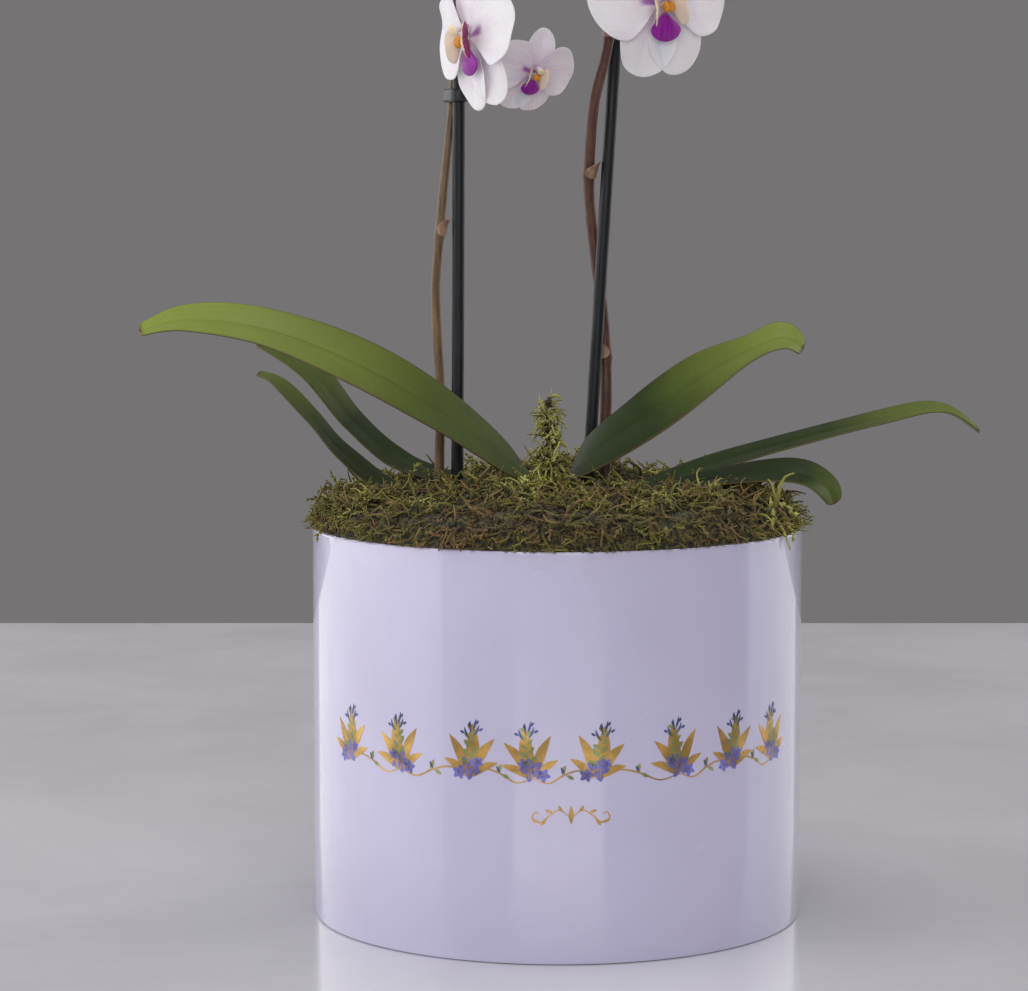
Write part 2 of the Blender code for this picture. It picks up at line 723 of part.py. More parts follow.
def build_bud(name, side, share, turn, size):
    start, end, facing = bud_place(side, share, turn)
    length = BUD_LENGTH * size
    radius = BUD_RADIUS * size
    profile = ((0.0, 0.0), (0.45, 0.04), (0.9, 0.25), (1.0, 0.5), (0.75, 0.8), (0.3, 0.97), (0.0, 1.0))
    body = turned_body([(radius * wide, length * high) for wide, high in profile], 10)
    matrix = Matrix.Translation(end + facing * GAP) @ UP.rotation_difference(facing).to_matrix().to_4x4()
    bmesh.ops.transform(body, matrix=matrix, verts=body.verts)
    add_object(name, body, "bud_pale")


def build_blooms():
    for side in ("left", "right"):
        for number, flower in enumerate(FLOWERS[side], start=1):
            build_flower(f"{side}_flower_{number}", flower)
        for number, (share, turn, size) in enumerate(BUDS, start=1):
            build_bud(f"{side}_bud_{number}", side, share, turn, size)


# ---- moss

def lump(x, y, size=MOSS_LUMP_SIZE):
    """Height of the moss's lumps at a place, from -1 to 1 of their size."""
    return noise.noise(Vector((x / size, y / size, 3.7)))


def leaf_floor(x, y):
    """The greatest height the moss may have at a place, so that it stays under every leaf."""
    lowest = 1.0
    for stations in LEAVES.values():
        for index in range(41):
            centre, across, up, half_width = leaf_frame(stations, index / 40)
            offset = Vector((x - centre.x, y - centre.y, 0.0))
            flat_across = Vector((across.x, across.y, 0.0))
            sideways = offset.dot(flat_across) / flat_across.length_squared
            reach = half_width + 0.006
            nearby = (offset - flat_across * sideways).length < 0.005
            if nearby and abs(sideways) < reach:
                side = max(-half_width, min(half_width, sideways))
                under = centre + across * side + up * (LEAF_FOLD * abs(side) - LEAF_THICKNESS / 2)
                lowest = min(lowest, under.z - MOSS_UNDER_LEAF)
    return lowest


def moss_surface(x, y):
    """Height of the moss bed's top: a low mound with lumps, pressed down under the leaves."""
    radius = math.hypot(x, y)
    share = min(radius / POT_RADIUS, 1.0)
    mound = MOSS_CROWN_RISE + (MOSS_RIM_RISE - MOSS_CROWN_RISE) * share ** 2
    free = POT_HEIGHT + mound + MOSS_LUMP * lump(x, y)
    return min(free, leaf_floor(x, y))


def moss_bed_body():
    """The bed: from the bark up past the rim, where it swells over the pot's edge, to its lumpy top."""
    low = POT_HEIGHT - MOSS_FOOT_DROP
    inside = POT_RADIUS - POT_WALL - GAP * 2
    over = POT_RADIUS - MOSS_OVERHANG
    just_over_rim = POT_HEIGHT + GAP * 2
    side = ((0.0, low), (inside, low), (inside, just_over_rim - POT_EDGE_ROUND), (over, just_over_rim))
    rings = (0.985, 0.92, 0.84, 0.74, 0.63, 0.52, 0.41, 0.30, 0.19, 0.09, 0.0)
    rows = len(side) + len(rings) - 1

    def place(u, v):
        index = round(v * rows)
        angle = 2 * math.pi * u
        if index < len(side):
            radius, height = side[index]
            return Vector((radius * math.cos(angle), radius * math.sin(angle), height))
        share = rings[index - len(side)]
        x = over * share * math.cos(angle)
        y = over * share * math.sin(angle)
        height = max(moss_surface(x, y), just_over_rim + 0.001)
        if share > 0.95:
            height = just_over_rim + 0.0016 + (height - just_over_rim) * 0.35
        return Vector((x, y, height))
    return wrapped_body(MOSS_SIDES, rows, place)


def tuft_body(x, y, base_radius, height, seed):
    """A ragged tuft of moss, a spire or a clump, that starts in the bed and is then cut to sit on it."""
    low = POT_HEIGHT + TUFT_ROOT_RISE

    def place(u, v):
        angle = 2 * math.pi * u
        rough = 1.0 + 0.35 * noise.noise(Vector((math.cos(angle) * 2 + seed, math.sin(angle) * 2, v * 4)))
        radius = base_radius * (1.0 - v) ** 0.8 * rough
        return Vector((x + radius * math.cos(angle), y + radius * math.sin(angle), low + height * v))
    return wrapped_body(10, 6, place)


def build_moss(cuts):
    bed = add_object("moss_bed", moss_bed_body(), "moss", math.radians(80))
    boolean(bed, cuts, "DIFFERENCE")
    for name, (x, y, radius, height, seed) in TUFTS.items():
        tuft_shape = tuft_body(x * POT_RADIUS, y * POT_RADIUS, radius / 1000.0, height / 1000.0, seed)
        tuft = add_object(name, tuft_shape, "moss", math.radians(80))
        raised = moss_bed_body()
        grow = 1.0 + GAP * 2 / POT_RADIUS
        bmesh.ops.scale(raised, verts=raised.verts, vec=(grow, grow, 1.0))
        bmesh.ops.translate(raised, verts=raised.verts, vec=(0.0, 0.0, GAP * 1.5))
        boolean(tuft, hide_as_tool(add_object(f"tool_{name}", raised, "moss")), "DIFFERENCE")


def stem_cuts(name):
    """Grown copies of everything that goes down through the moss and the bark."""
    tools = [add_object(f"tool_{name}_crown", crown_body(GAP), "bark")]
    for side in ("left", "right"):
        tools.append(add_object(f"tool_{name}_{side}_stake", stake_body(side, GAP), "bark"))
        tools.append(add_object(f"tool_{name}_{side}_spike", spike_body(side, GAP), "bark"))
    tools += [add_object(f"tool_{name}_root_{n}", root_body(n, GAP), "bark") for n in range(ROOT_COUNT)]
    return tool_collection(f"{name}_cuts", tools)


def main():
    for thing in list(bpy.data.objects):
        bpy.data.objects.remove(thing, do_unlink=True)
    crown_pocket = crown_cutter()
    build_pot()
    build_nursery_pot()
    build_packing()
    build_bark(stem_cuts("bark"))
    build_crown()
    build_leaves(crown_pocket)
    build_stems(crown_pocket)
    build_blooms()
    build_moss(stem_cuts("moss"))


main()
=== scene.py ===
"""A staked two-spike moth orchid in a glazed pot: its finished looks, built round its CAD frame.

Metres, +Z up. The pot stands on Z = 0 at the origin, and the plant's face looks towards -Y.
"""
import math
import random

import bmesh
import bpy
from mathutils import Matrix, Vector, noise
from mathutils.bvhtree import BVHTree


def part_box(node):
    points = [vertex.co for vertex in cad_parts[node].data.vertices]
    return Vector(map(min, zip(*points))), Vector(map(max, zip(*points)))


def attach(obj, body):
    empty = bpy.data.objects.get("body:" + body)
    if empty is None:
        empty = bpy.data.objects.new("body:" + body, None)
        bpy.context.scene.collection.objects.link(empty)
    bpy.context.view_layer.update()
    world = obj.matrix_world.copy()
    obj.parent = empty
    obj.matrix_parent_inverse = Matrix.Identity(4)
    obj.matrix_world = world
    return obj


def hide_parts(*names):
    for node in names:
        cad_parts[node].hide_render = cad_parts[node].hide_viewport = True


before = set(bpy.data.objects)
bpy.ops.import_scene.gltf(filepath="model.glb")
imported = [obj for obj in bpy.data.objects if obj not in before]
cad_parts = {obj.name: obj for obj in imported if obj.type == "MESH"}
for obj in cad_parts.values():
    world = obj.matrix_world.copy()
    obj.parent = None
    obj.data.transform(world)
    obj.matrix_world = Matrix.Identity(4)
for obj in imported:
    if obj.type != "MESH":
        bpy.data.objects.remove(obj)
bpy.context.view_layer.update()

bl_info = {
    "name": "Potted moth orchid",
    "version": (1, 0, 0),
    "blender": (4, 5, 0),
    "location": "3D View > Sidebar > Orchid",
    "description": "Builds the looks of a potted moth orchid round its frame",
    "category": "Add Mesh",
}

POT_HIGH = Vector(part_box("pot_shell")[1])
MOSS_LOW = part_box("moss_bed")[0][2]
UP = Vector((0.0, 0.0, 1.0))
BODY = "root"
MM = 0.001
WELD = 0.000002
SIDES = ("left", "right")
NO_MARK = Vector((0.0, 0.0, 0.0))


def shade(red, green, blue):
    """A display colour from 0 to 255 as the linear colour that a shader takes."""
    linear = []
    for value in (red, green, blue):
        share = value / 255.0
        linear.append(share / 12.92 if share <= 0.04045 else ((share + 0.055) / 1.055) ** 2.4)
    return (*linear, 1.0)


# ---- the plant's lines: places in mm, with heights above the pot's rim

# x, y, rise, half width, lean towards the front in degrees
LEAVES = {
    "leaf_upper_left": (
        (-3.6, -2, 12.5, 3.2, 12), (-16, -9, 22, 14.0, 25), (-44, -18, 43, 17.5, 30),
        (-75, -24, 61, 18.0, 28), (-106, -27, 72.8, 15.5, 23), (-133, -28.5, 76, 12.5, 20),
        (-150, -30, 72, 6.5, 16),
    ),
    "leaf_upper_right": (
        (-0.4, -2, 12, 3.2, 12), (10, -7, 23, 13.5, 25), (29, -10, 37, 15.5, 30),
        (52, -11.5, 54, 15.5, 28), (71, -12, 65, 12.0, 18), (82, -12, 69, 10.5, 26),
        (89, -12, 65, 5.0, 30),
    ),
    "leaf_back_left": (
        (-3.6, 0, 2.5, 3.0, 0), (-20, 22.5, 7, 6.0, 4), (-41, 37, 12.5, 8.5, 8),
        (-61, 41.5, 19.5, 10.5, 14), (-78, 43, 34.5, 10.5, 16), (-94, 45, 53.5, 10.0, 16),
        (-114, 48.5, 64, 3.5, 12),
    ),
    "leaf_low_left": (
        (-3.6, -1, 6.5, 3.0, 4), (-26, 1, 7, 7.0, 4), (-58, 4, 11, 8.5, 6), (-79, 8, 24.5, 9.0, 8),
        (-91, 9.5, 38, 8.8, 8), (-103, 11.5, 50.5, 8.0, 6), (-111, 12, 54.5, 4.0, 4),
    ),
    "leaf_back_right": (
        (-0.4, 0, 5.5, 3.0, 0), (14, 6, 7, 5.5, 0), (38, 20, 12.5, 9.0, 4), (71, 33, 22, 12.0, 6),
        (122, 38, 35, 12.0, 6), (146, 38.5, 39, 8.5, 8), (161, 39, 31, 3.0, 12),
    ),
    "leaf_low_right": (
        (-0.4, -2, 3.5, 3.0, 0), (20, -6, 6.5, 8.0, 6), (46, -9, 14.5, 11.5, 8),
        (72, -12, 19, 12.5, 12), (88, -14, 19.5, 11.0, 20), (97, -15, 15, 8.5, 24),
        (100.5, -16, 9, 3.6, 26),
    ),
}
# from 0 dark to 1 pale
LEAF_TONES = {
    "leaf_upper_left": 1.0, "leaf_upper_right": 0.72, "leaf_back_left": 0.20,
    "leaf_low_left": 0.32, "leaf_back_right": 0.40, "leaf_low_right": 0.14,
}
LEAF_FOLD = 0.10
LEAF_GROOVE_DEPTH = 0.0006
LEAF_GROOVE_WIDTH = 0.0013
LEAF_WAVE = 0.0007
STAKE_LINES = {"left": ((-37.2, 20.0), (-36.3, 20.0)), "right": ((11.0, 20.0), (20.0, 20.0))}
STAKE_LINE_SPAN = 0.150
STAKE_TOPS = {"left": 0.262, "right": 0.278}
SPIKE_STATIONS = {
    "left": (
        (-2, 1, -5), (-14, 6, -5), (-28, 11, -4), (-38, 13.6, 0), (-43.6, 19, 10),
        (-43.6, 22, 28), (-43.6, 22, 50), (-45.2, 22, 82), (-43.8, 22, 104), (-41.6, 23, 128),
        (-38.6, 26, 157), (-37, 26.4, 190), (-34, 26, 226), (-28.5, 23, 262), (-18, 15, 294),
        (-3, 4, 318), (14, -5, 330),
    ),
    "right": (
        (-2, 1, -10), (6, 6, -9), (14, 13.5, -5), (18, 22, 5), (18.2, 24, 30), (18.6, 25, 50),
        (17.6, 26.5, 72), (14.8, 26.5, 96), (12.2, 24.5, 118), (12.2, 17.5, 138), (14, 14, 156),
        (18, 13, 172), (21.5, 12.4, 196), (25, 12, 228), (30, 11, 262), (40, 6, 296),
        (56, -2, 322), (76, -10, 336),
    ),
}
SPIKE_RADII = {"left": 0.0019, "right": 0.0024}
SPIKE_TIP_RADIUS = 0.0011
SPIKE_TO_STAKE = 0.0004
CLIP_RISES = {"left": (157, 236), "right": (190, 242)}
CLIP_CLEARANCE = 0.0003
CLIP_OFFSET = 0.0006
CLIP_WALL = 0.0010
CLIP_HALF_HEIGHT = 0.0025
BRACT_LENGTH = 0.0065
BRACT_THICKNESS = 0.00035
# heights above the rim of the joints on each spike, where a small dry bract clasps the stem
SPIKE_JOINTS = {"left": (46, 106, 205, 243, 267), "right": (60, 128, 179, 207, 215, 257, 283)}
# hub x, y, rise, turn, lift and roll in degrees, size, rise of the pedicel's start, how lilac
FLOWERS = {
    "left": (
        (-30.5, -10, 177, -62, -4, 8, 1.00, 206, 0.20),
        (-9, 13, 165.5, 30, -24, -8, 0.62, 188, 0.50),
        (-62, 8, 222, -22, 0, -10, 0.98, 244, 0.20), (-14, 0, 251, 8, 5, 4, 0.94, 268, 0.25),
    ),
    "right": (
        (36.5, -9, 189, 30, 2, 4, 1.00, 199, 0.15), (6, -6, 218, 34, 0, -20, 0.96, 230, 0.20),
        (68, -2, 240, 20, 2, 8, 0.96, 258, 0.20), (36, -12, 271, 2, 8, -4, 0.90, 284, 0.25),
    ),
}
# share of the spike's length, side or 0 for its tip, and size
BUDS = ((0.905, 1, 1.0), (1.0, 0, 0.75))
BUD_RADIUS = 0.0052
BUD_LENGTH = 0.0130
BUD_STALK = 0.011
# where the foil sprigs stand round the pot, in degrees to the right of its front
SPRIG_ANGLES = (-55.5, -38.0, -20.5, -6.0, 8.0, 27.5, 42.0, 57.5)
BAND_HEIGHT = 0.0745
FLOURISH_HEIGHT = 0.0522
FLOURISH_ANGLE = 2.4
# moss tufts: x and y as shares of the pot's radius, base radius and height in mm
TUFTS = {
    "moss_tuft_front": (-0.04, -0.40, 6.5, 46), "moss_clump_left": (-0.69, -0.40, 13, 16),
    "moss_clump_right": (0.58, -0.51, 12, 16),
}
# every stretch of moss is laid from the same strands: a few shapes in each tone, from dry to fresh
STRAND_TONES = (0.05, 0.30, 0.52, 0.75, 1.0)
STRAND_SHAPES = 5
MOSS_GAP = 0.0006
ROOM_ABOVE = 0.06


def in_metres(values):
    return Vector([value * MM for value in values])


def above_rim(x, y, rise):
    return in_metres((x, y, rise)) + UP * POT_HIGH.z


def curve_at(points, share):
    """A smooth curve through the given points, read at a share from 0 to 1 of its stations."""
    last = len(points) - 1
    place = min(max(share, 0.0), 1.0) * last
    index = min(int(place), last - 1)
    t = place - index
    before, after = points[max(index - 1, 0)], points[min(index + 2, last)]
    result = []
    for a, b, c, d in zip(before, points[index], points[index + 1], after):
        square = 2 * a - 5 * b + 4 * c - d
        cube = 3 * b - a - 3 * c + d
        result.append(0.5 * (2 * b + (c - a) * t + square * t * t + cube * t ** 3))
    return result


def ease(low, high, value):
    """0 below low, 1 above high, and smooth between them."""
    t = min(max((value - low) / (high - low), 0.0), 1.0)
    return t * t * (3 - 2 * t)


# ---- settings that a user may change

def colour_setting(name, description, colour):
    return bpy.props.FloatVectorProperty(
        name=name, description=description, default=colour, size=4, min=0.0, max=1.0,
        subtype="COLOR")


def length_setting(name, description, value):
    return bpy.props.FloatProperty(
        name=name, description=description, default=value, min=0.0, subtype="DISTANCE",
        unit="LENGTH")


class OrchidSizes(bpy.types.PropertyGroup):
    """Sizes of the finished pieces."""
    pot_radius: length_setting("Pot radius", "Outer radius of the glazed pot", POT_HIGH.x)
    pot_height: length_setting("Pot height", "Height of the glazed pot's rim", POT_HIGH.z)
    pot_wall: length_setting("Pot wall", "Thickness of the glazed pot's wall", 0.002)
    rim_round: length_setting("Rim rounding", "Radius of the pot's rounded rim", 0.0009)
    foil_rise: length_setting("Foil rise", "How far the foil stands off the glaze", 0.00012)
    leaf_thickness: length_setting("Leaf thickness", "Thickness of a leaf at its midrib", 0.0018)
    petal_thickness: length_setting("Petal thickness", "Thickness of a petal", 0.0006)
    stake_radius: length_setting("Stake radius", "Radius of a support stake", 0.0023)
    pedicel_radius: length_setting("Pedicel radius", "Radius of a flower's own stalk", 0.0010)
    moss_strands: bpy.props.IntProperty(
        name="Moss strands", description="How many strands lie on the moss bed",
        default=6400, min=10, max=9000)


class OrchidColours(bpy.types.PropertyGroup):
    """Colours of the finished pieces."""
    glaze: colour_setting("Glaze", "Colour of the pot's glaze", shade(203, 198, 226))
    gold: colour_setting("Gold foil", "Colour of the gold foil", shade(200, 160, 88))
    foil_leaf: colour_setting("Foil leaves", "Colour of its leaves", shade(150, 156, 92))
    foil_blossom: colour_setting("Foil blossoms", "Colour of its blossoms", shade(118, 118, 196))
    foil_twig: colour_setting("Foil twigs", "Colour of its twigs", shade(84, 92, 142))
    leaf_dark: colour_setting("Dark leaf", "Green of the oldest leaves", shade(34, 50, 8))
    leaf_pale: colour_setting("Pale leaf", "Green of the youngest leaves", shade(136, 152, 66))
    # leaf_tip is the brown of a dry leaf tip, and is also laid along the leaf edges as painted
    # shade
    leaf_tip: colour_setting("Leaf tip", "Brown of a leaf's dry tip and edge", shade(92, 66, 48))
    spike_left: colour_setting("Left spike", "Colour of the left spike", shade(108, 86, 58))
    spike_right: colour_setting("Right spike", "Colour of the right spike", shade(84, 50, 43))
    pedicel: colour_setting("Pedicel", "Colour of the flowers' own stalks", shade(150, 140, 120))
    bract: colour_setting("Bract", "Colour of the dry bracts", shade(176, 142, 118))
    stake: colour_setting("Stake", "Colour of the support stakes", shade(22, 24, 28))
    petal: colour_setting("Petal", "White of the petals", shade(244, 240, 243))
    flush: colour_setting("Flush", "Lilac flush of the petals", shade(208, 178, 216))
    petal_mark: colour_setting("Petal mark", "Streak at a petal's root", shade(150, 72, 176))
    lip: colour_setting("Lip", "Purple of the lip's tongue", shade(142, 22, 148))
    lip_side: colour_setting("Lip sides", "Magenta of the lip's side lobes", shade(132, 12, 84))
    callus: colour_setting("Callus", "Yellow of the lip's callus", shade(222, 150, 40))
    bud: colour_setting("Bud", "Green of the closed buds", shade(168, 172, 128))
    moss_dark: colour_setting("Dark moss", "Colour deep in the moss", shade(62, 52, 30))
    moss_brown: colour_setting("Brown moss", "Colour of the dry moss", shade(150, 118, 70))
    moss_green: colour_setting("Green moss", "Colour of the fresh moss", shade(136, 130, 56))
    moss_pale: colour_setting("Pale moss", "Colour of the moss's new tips", shade(204, 200, 108))
    bark: colour_setting("Bark", "Colour of the bark medium", shade(98, 62, 40))


def sizes():
    return bpy.context.scene.orchid_sizes


def colours():
    return bpy.context.scene.orchid_colours


# ---- bodies: every body carries "place", which its material reads

def new_body():
    bm = bmesh.new()
    bm.verts.layers.float_vector.new("place")
    return bm


def place_layer(bm):
    return bm.verts.layers.float_vector["place"]


def only(geometry, kind):
    return [item for item in geometry if isinstance(item, kind)]


def verts_of(faces):
    """The corners of some faces, each once and in a fixed order."""
    return list(dict.fromkeys(vert for face in faces for vert in face.verts))


def doubled(bm, faces):
    """The corners of a copy of a sheet that is joined to it all round its edge."""
    made = bmesh.ops.extrude_face_region(bm, geom=faces, use_keep_orig=True)["geom"]
    return only(made, bmesh.types.BMVert)


def heading_at(route, share, step):
    """The direction of a smooth route at a share of its length."""
    ahead, behind = curve_at(route, share + step), curve_at(route, share - step)
    return (Vector(ahead) - Vector(behind)).normalized()


def standing(place, direction):
    """Takes a body that stands upright on the origin to a place, tilted along a direction."""
    return Matrix.Translation(place) @ UP.rotation_difference(direction).to_matrix().to_4x4()


def add_sheet(bm, columns, rows, shape, rounded=True):
    """A grid, drawn into a disc if rounded; shape(along, across) gives a point's place and mark."""
    made = bmesh.ops.create_grid(bm, x_segments=columns, y_segments=rows, size=1.0)["verts"]
    layer = place_layer(bm)
    for vert in made:
        across, along = vert.co.x, vert.co.y
        if rounded:
            narrow, short = math.sqrt(1 - along * along / 2), math.sqrt(1 - across * across / 2)
            across, along = across * narrow, along * short
        vert.co, vert[layer] = shape(along, across)
    return list(dict.fromkeys(face for vert in made for face in vert.link_faces))


def thicken(bm, faces, thickness_at, mark_under=None):
    """Gives a sheet an under side, half the thickness below it, and lifts it by the other half."""
    layer = place_layer(bm)
    bm.normal_update()
    lower = verts_of(faces)
    upper = doubled(bm, faces)
    normals = {vert: vert.normal.copy() for vert in lower}
    by_place = {tuple(vert.co): normals[vert] for vert in lower}
    for vert in upper:
        vert.co += by_place[tuple(vert.co)] * thickness_at(vert[layer]) / 2
    for vert in lower:
        vert.co -= normals[vert] * thickness_at(vert[layer]) / 2
        if mark_under:
            vert[layer] = mark_under(vert[layer])


def frames_along(route, rows):
    """A 4x4 frame at each row of a smooth route, Z along it, carried on so that it never twists."""
    step = 0.25 / rows
    side = Vector((1.0, 0.0, 0.0))
    frames = []
    for row in range(rows + 1):
        share = row / rows
        along = heading_at(route, share, step)
        side = side - along * side.dot(along)
        if side.length < 0.1:
            side = along.cross(Vector((0.0, 1.0, 0.0)))
        side.normalize()
        turn = Matrix((side, along.cross(side), along)).transposed().to_4x4()
        frames.append(Matrix.Translation(curve_at(route, share)) @ turn)
    return frames


def add_tube(bm, route, rows, sides, radius_at, mark_at):
    """A round tube with closed ends, extruded ring by ring along a smooth route."""
    frames = frames_along(route, rows)
    layer = place_layer(bm)
    ring = bmesh.ops.create_circle(bm, cap_ends=True, segments=sides, radius=1.0)["verts"]
    edges = list(dict.fromkeys(edge for vert in ring for edge in vert.link_edges))
    sized = frames[0] @ Matrix.Scale(radius_at(0.0), 4)
    bmesh.ops.transform(bm, matrix=sized, verts=ring)
    for vert in ring:
        vert[layer] = mark_at(0.0)
    for row in range(1, rows + 1):
        share = row / rows
        grown = bmesh.ops.extrude_edge_only(bm, edges=edges)["geom"]
        ring = only(grown, bmesh.types.BMVert)
        edges = [edge for edge in only(grown, bmesh.types.BMEdge)
                 if all(vert in ring for vert in edge.verts)]
        after = frames[row] @ Matrix.Scale(radius_at(share), 4)
        bmesh.ops.transform(bm, matrix=after @ sized.inverted(), verts=ring)
        sized = after
        for vert in ring:
            vert[layer] = mark_at(share)
    bmesh.ops.holes_fill(bm, edges=edges, sides=0)


def add_turned(bm, profile, steps):
    """Fills an empty body by spinning a profile of (radius, height) round Z."""
    verts = [bm.verts.new((radius, 0.0, height)) for radius, height in profile]
    edges = [bm.edges.new(pair) for pair in zip(verts, verts[1:])]
    bmesh.ops.spin(bm, geom=verts + edges, axis=UP, cent=(0.0, 0.0, 0.0), angle=2 * math.pi,
                   steps=steps, use_merge=True, use_duplicate=False)
    bmesh.ops.remove_doubles(bm, verts=bm.verts, dist=WELD)


def add_ball(bm, matrix, mark, round_steps=12, high_steps=8):
    made = bmesh.ops.create_uvsphere(bm, u_segments=round_steps, v_segments=high_steps, radius=1.0,
                                     matrix=matrix)
    layer = place_layer(bm)
    for vert in made["verts"]:
        vert[layer] = mark
    return made["verts"]


def as_mesh(name, bm):
    """Turns a body into a mesh and lets the body go."""
    bmesh.ops.recalc_face_normals(bm, faces=bm.faces)
    mesh = bpy.data.meshes.new(name)
    bm.to_mesh(mesh)
    bm.free()
    return mesh


def add_to_scene(name, data):
    item = bpy.data.objects.new(name, data)
    bpy.context.scene.collection.objects.link(item)
    return item


def show_piece(name, bm, material, nodes=(), smooth=0, sharp=60):
    """Turns a body into a finished piece that rides on the frame and stands for its CAD nodes."""
    mesh = as_mesh(name, bm)
    mesh.materials.append(material)
    mesh.shade_smooth()
    if not smooth:
        mesh.set_sharp_from_angle(angle=math.radians(sharp))
    piece = add_to_scene(name, mesh)
    if smooth:
        rounding = piece.modifiers.new("rounding", "SUBSURF")
        rounding.levels = smooth
        rounding.render_levels = smooth
    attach(piece, BODY)
    if nodes:
        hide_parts(*nodes)


def add_copy(bm, mesh, matrix):
    """Adds a copy of a scratch mesh to a body."""
    copy = mesh.copy()
    copy.transform(matrix)
    bm.from_mesh(copy)
    bpy.data.meshes.remove(copy)


# ---- materials

class Finish:
    """One material, whose nodes are added a step at a time."""

    def __init__(self, name, **values):
        self.material = bpy.data.materials.new(name)
        self.material.use_nodes = True
        self.tree = self.material.node_tree
        self.shader = self.tree.nodes["Principled BSDF"]
        for socket, value in values.items():
            self.shader.inputs[socket.replace("_", " ")].default_value = value
        self.coords = self.add("TexCoord").outputs["Object"]

    def add(self, kind, inputs=None, **settings):
        node = self.tree.nodes.new("ShaderNode" + kind)
        for key, value in settings.items():
            setattr(node, key, value)
        for key, value in (inputs or {}).items():
            if isinstance(value, bpy.types.NodeSocket):
                self.tree.links.new(value, node.inputs[key])
            else:
                node.inputs[key].default_value = value
        return node

    def drive(self, socket, value):
        self.tree.links.new(value, self.shader.inputs[socket])

    def noise(self, scale, detail=3.0, roughness=0.55, vector=None, distortion=0.0):
        inputs = {"Vector": vector or self.coords, "Scale": scale, "Detail": detail,
                  "Roughness": roughness, "Distortion": distortion}
        return self.add("TexNoise", inputs).outputs["Fac"]

    def lanes(self, marks, across_scale, along_scale, *noise_settings, distortion=0.0):
        """Noise drawn out along a surface, from the marks that it carries."""
        along, across, tone = marks
        vector = self.join(self.times(across, across_scale), self.times(along, along_scale), tone)
        return self.noise(1.0, *noise_settings, vector=vector, distortion=distortion)

    def stretched(self, across_scale, along_scale):
        """Coordinates for noise that is drawn out along Z."""
        inputs = {"Vector": self.coords, "Scale": (across_scale, across_scale, along_scale)}
        return self.add("Mapping", inputs).outputs["Vector"]

    def cells(self, scale):
        return self.add("TexVoronoi", {"Vector": self.coords, "Scale": scale}).outputs["Distance"]

    def maths(self, operation, first, second=0.0, clamp=False):
        node = self.add("Math", {0: first, 1: second}, operation=operation, use_clamp=clamp)
        return node.outputs[0]

    def times(self, first, second):
        return self.maths("MULTIPLY", first, second)

    def plus(self, first, second, clamp=False):
        return self.maths("ADD", first, second, clamp)

    def minus(self, first, second):
        return self.maths("SUBTRACT", first, second)

    def span(self, value, low, high, start=0.0, end=1.0):
        """Spreads a value between low and high smoothly over start to end."""
        inputs = {"Value": value, "From Min": low, "From Max": high, "To Min": start, "To Max": end}
        return self.add("MapRange", inputs, interpolation_type="SMOOTHSTEP").outputs["Result"]

    def mix(self, factor, first, second, blend="MIX"):
        node = self.add("Mix", {0: factor, 6: first, 7: second}, data_type="RGBA", blend_type=blend)
        return node.outputs[2]

    def place(self):
        """The three marks that the surface carries."""
        mark = self.add("Attribute", attribute_name="place", attribute_type="GEOMETRY")
        parts = self.add("SeparateXYZ", {"Vector": mark.outputs["Vector"]})
        return parts.outputs["X"], parts.outputs["Y"], parts.outputs["Z"]

    def join(self, x, y, z):
        return self.add("CombineXYZ", {"X": x, "Y": y, "Z": z}).outputs["Vector"]

    def bump(self, height, strength, distance):
        made = self.add("Bump", {"Height": height, "Strength": strength, "Distance": distance})
        self.drive("Normal", made.outputs["Normal"])


def tinted(colour, factor):
    """A lighter or darker colour of the same hue."""
    return (*(min(channel * factor, 1.0) for channel in colour[:3]), 1.0)


def glaze_finish():
    """A glossy lavender glaze, with a faint cloudiness, fine pits and a soft ripple."""
    colour = colours().glaze
    finish = Finish("lavender_glaze", Roughness=0.22, Coat_Weight=0.85, Coat_Roughness=0.04,
                    IOR=1.5)
    clouds = finish.noise(14.0, 4.0)
    specks = finish.span(finish.cells(900.0), 0.0, 0.10)
    body = finish.mix(finish.span(clouds, 0.3, 0.7), tinted(colour, 0.965), tinted(colour, 1.03))
    finish.drive("Base Color", finish.mix(specks, tinted(colour, 0.90), body))
    finish.drive("Roughness", finish.span(finish.noise(60.0), 0.2, 0.8, 0.18, 0.28))
    finish.bump(finish.noise(38.0, 1.0), 0.10, 0.0004)
    return finish.material


def foil_finish(name, colour, metallic):
    """Pressed foil or print: worn a little thin, with lighter and darker streaks of painted
    highlight and painted shade.
    """
    finish = Finish(name, Metallic=metallic, Roughness=0.34)
    wear = finish.noise(420.0, 4.0, 0.7)
    streaks = finish.noise(90.0, 2.0)
    # painted highlight and painted shade: streaks of lighter and darker foil, as if its grain
    # caught the light
    tone = finish.mix(finish.span(streaks, 0.3, 0.7), tinted(colour, 0.62), tinted(colour, 1.35))
    worn = finish.span(wear, 0.58, 0.75)
    finish.drive("Base Color", finish.mix(worn, tone, tinted(colour, 0.75)))
    finish.drive("Roughness", finish.span(wear, 0.3, 0.8, 0.26, 0.5))
    finish.bump(wear, 0.25, 0.0001)
    return finish.material


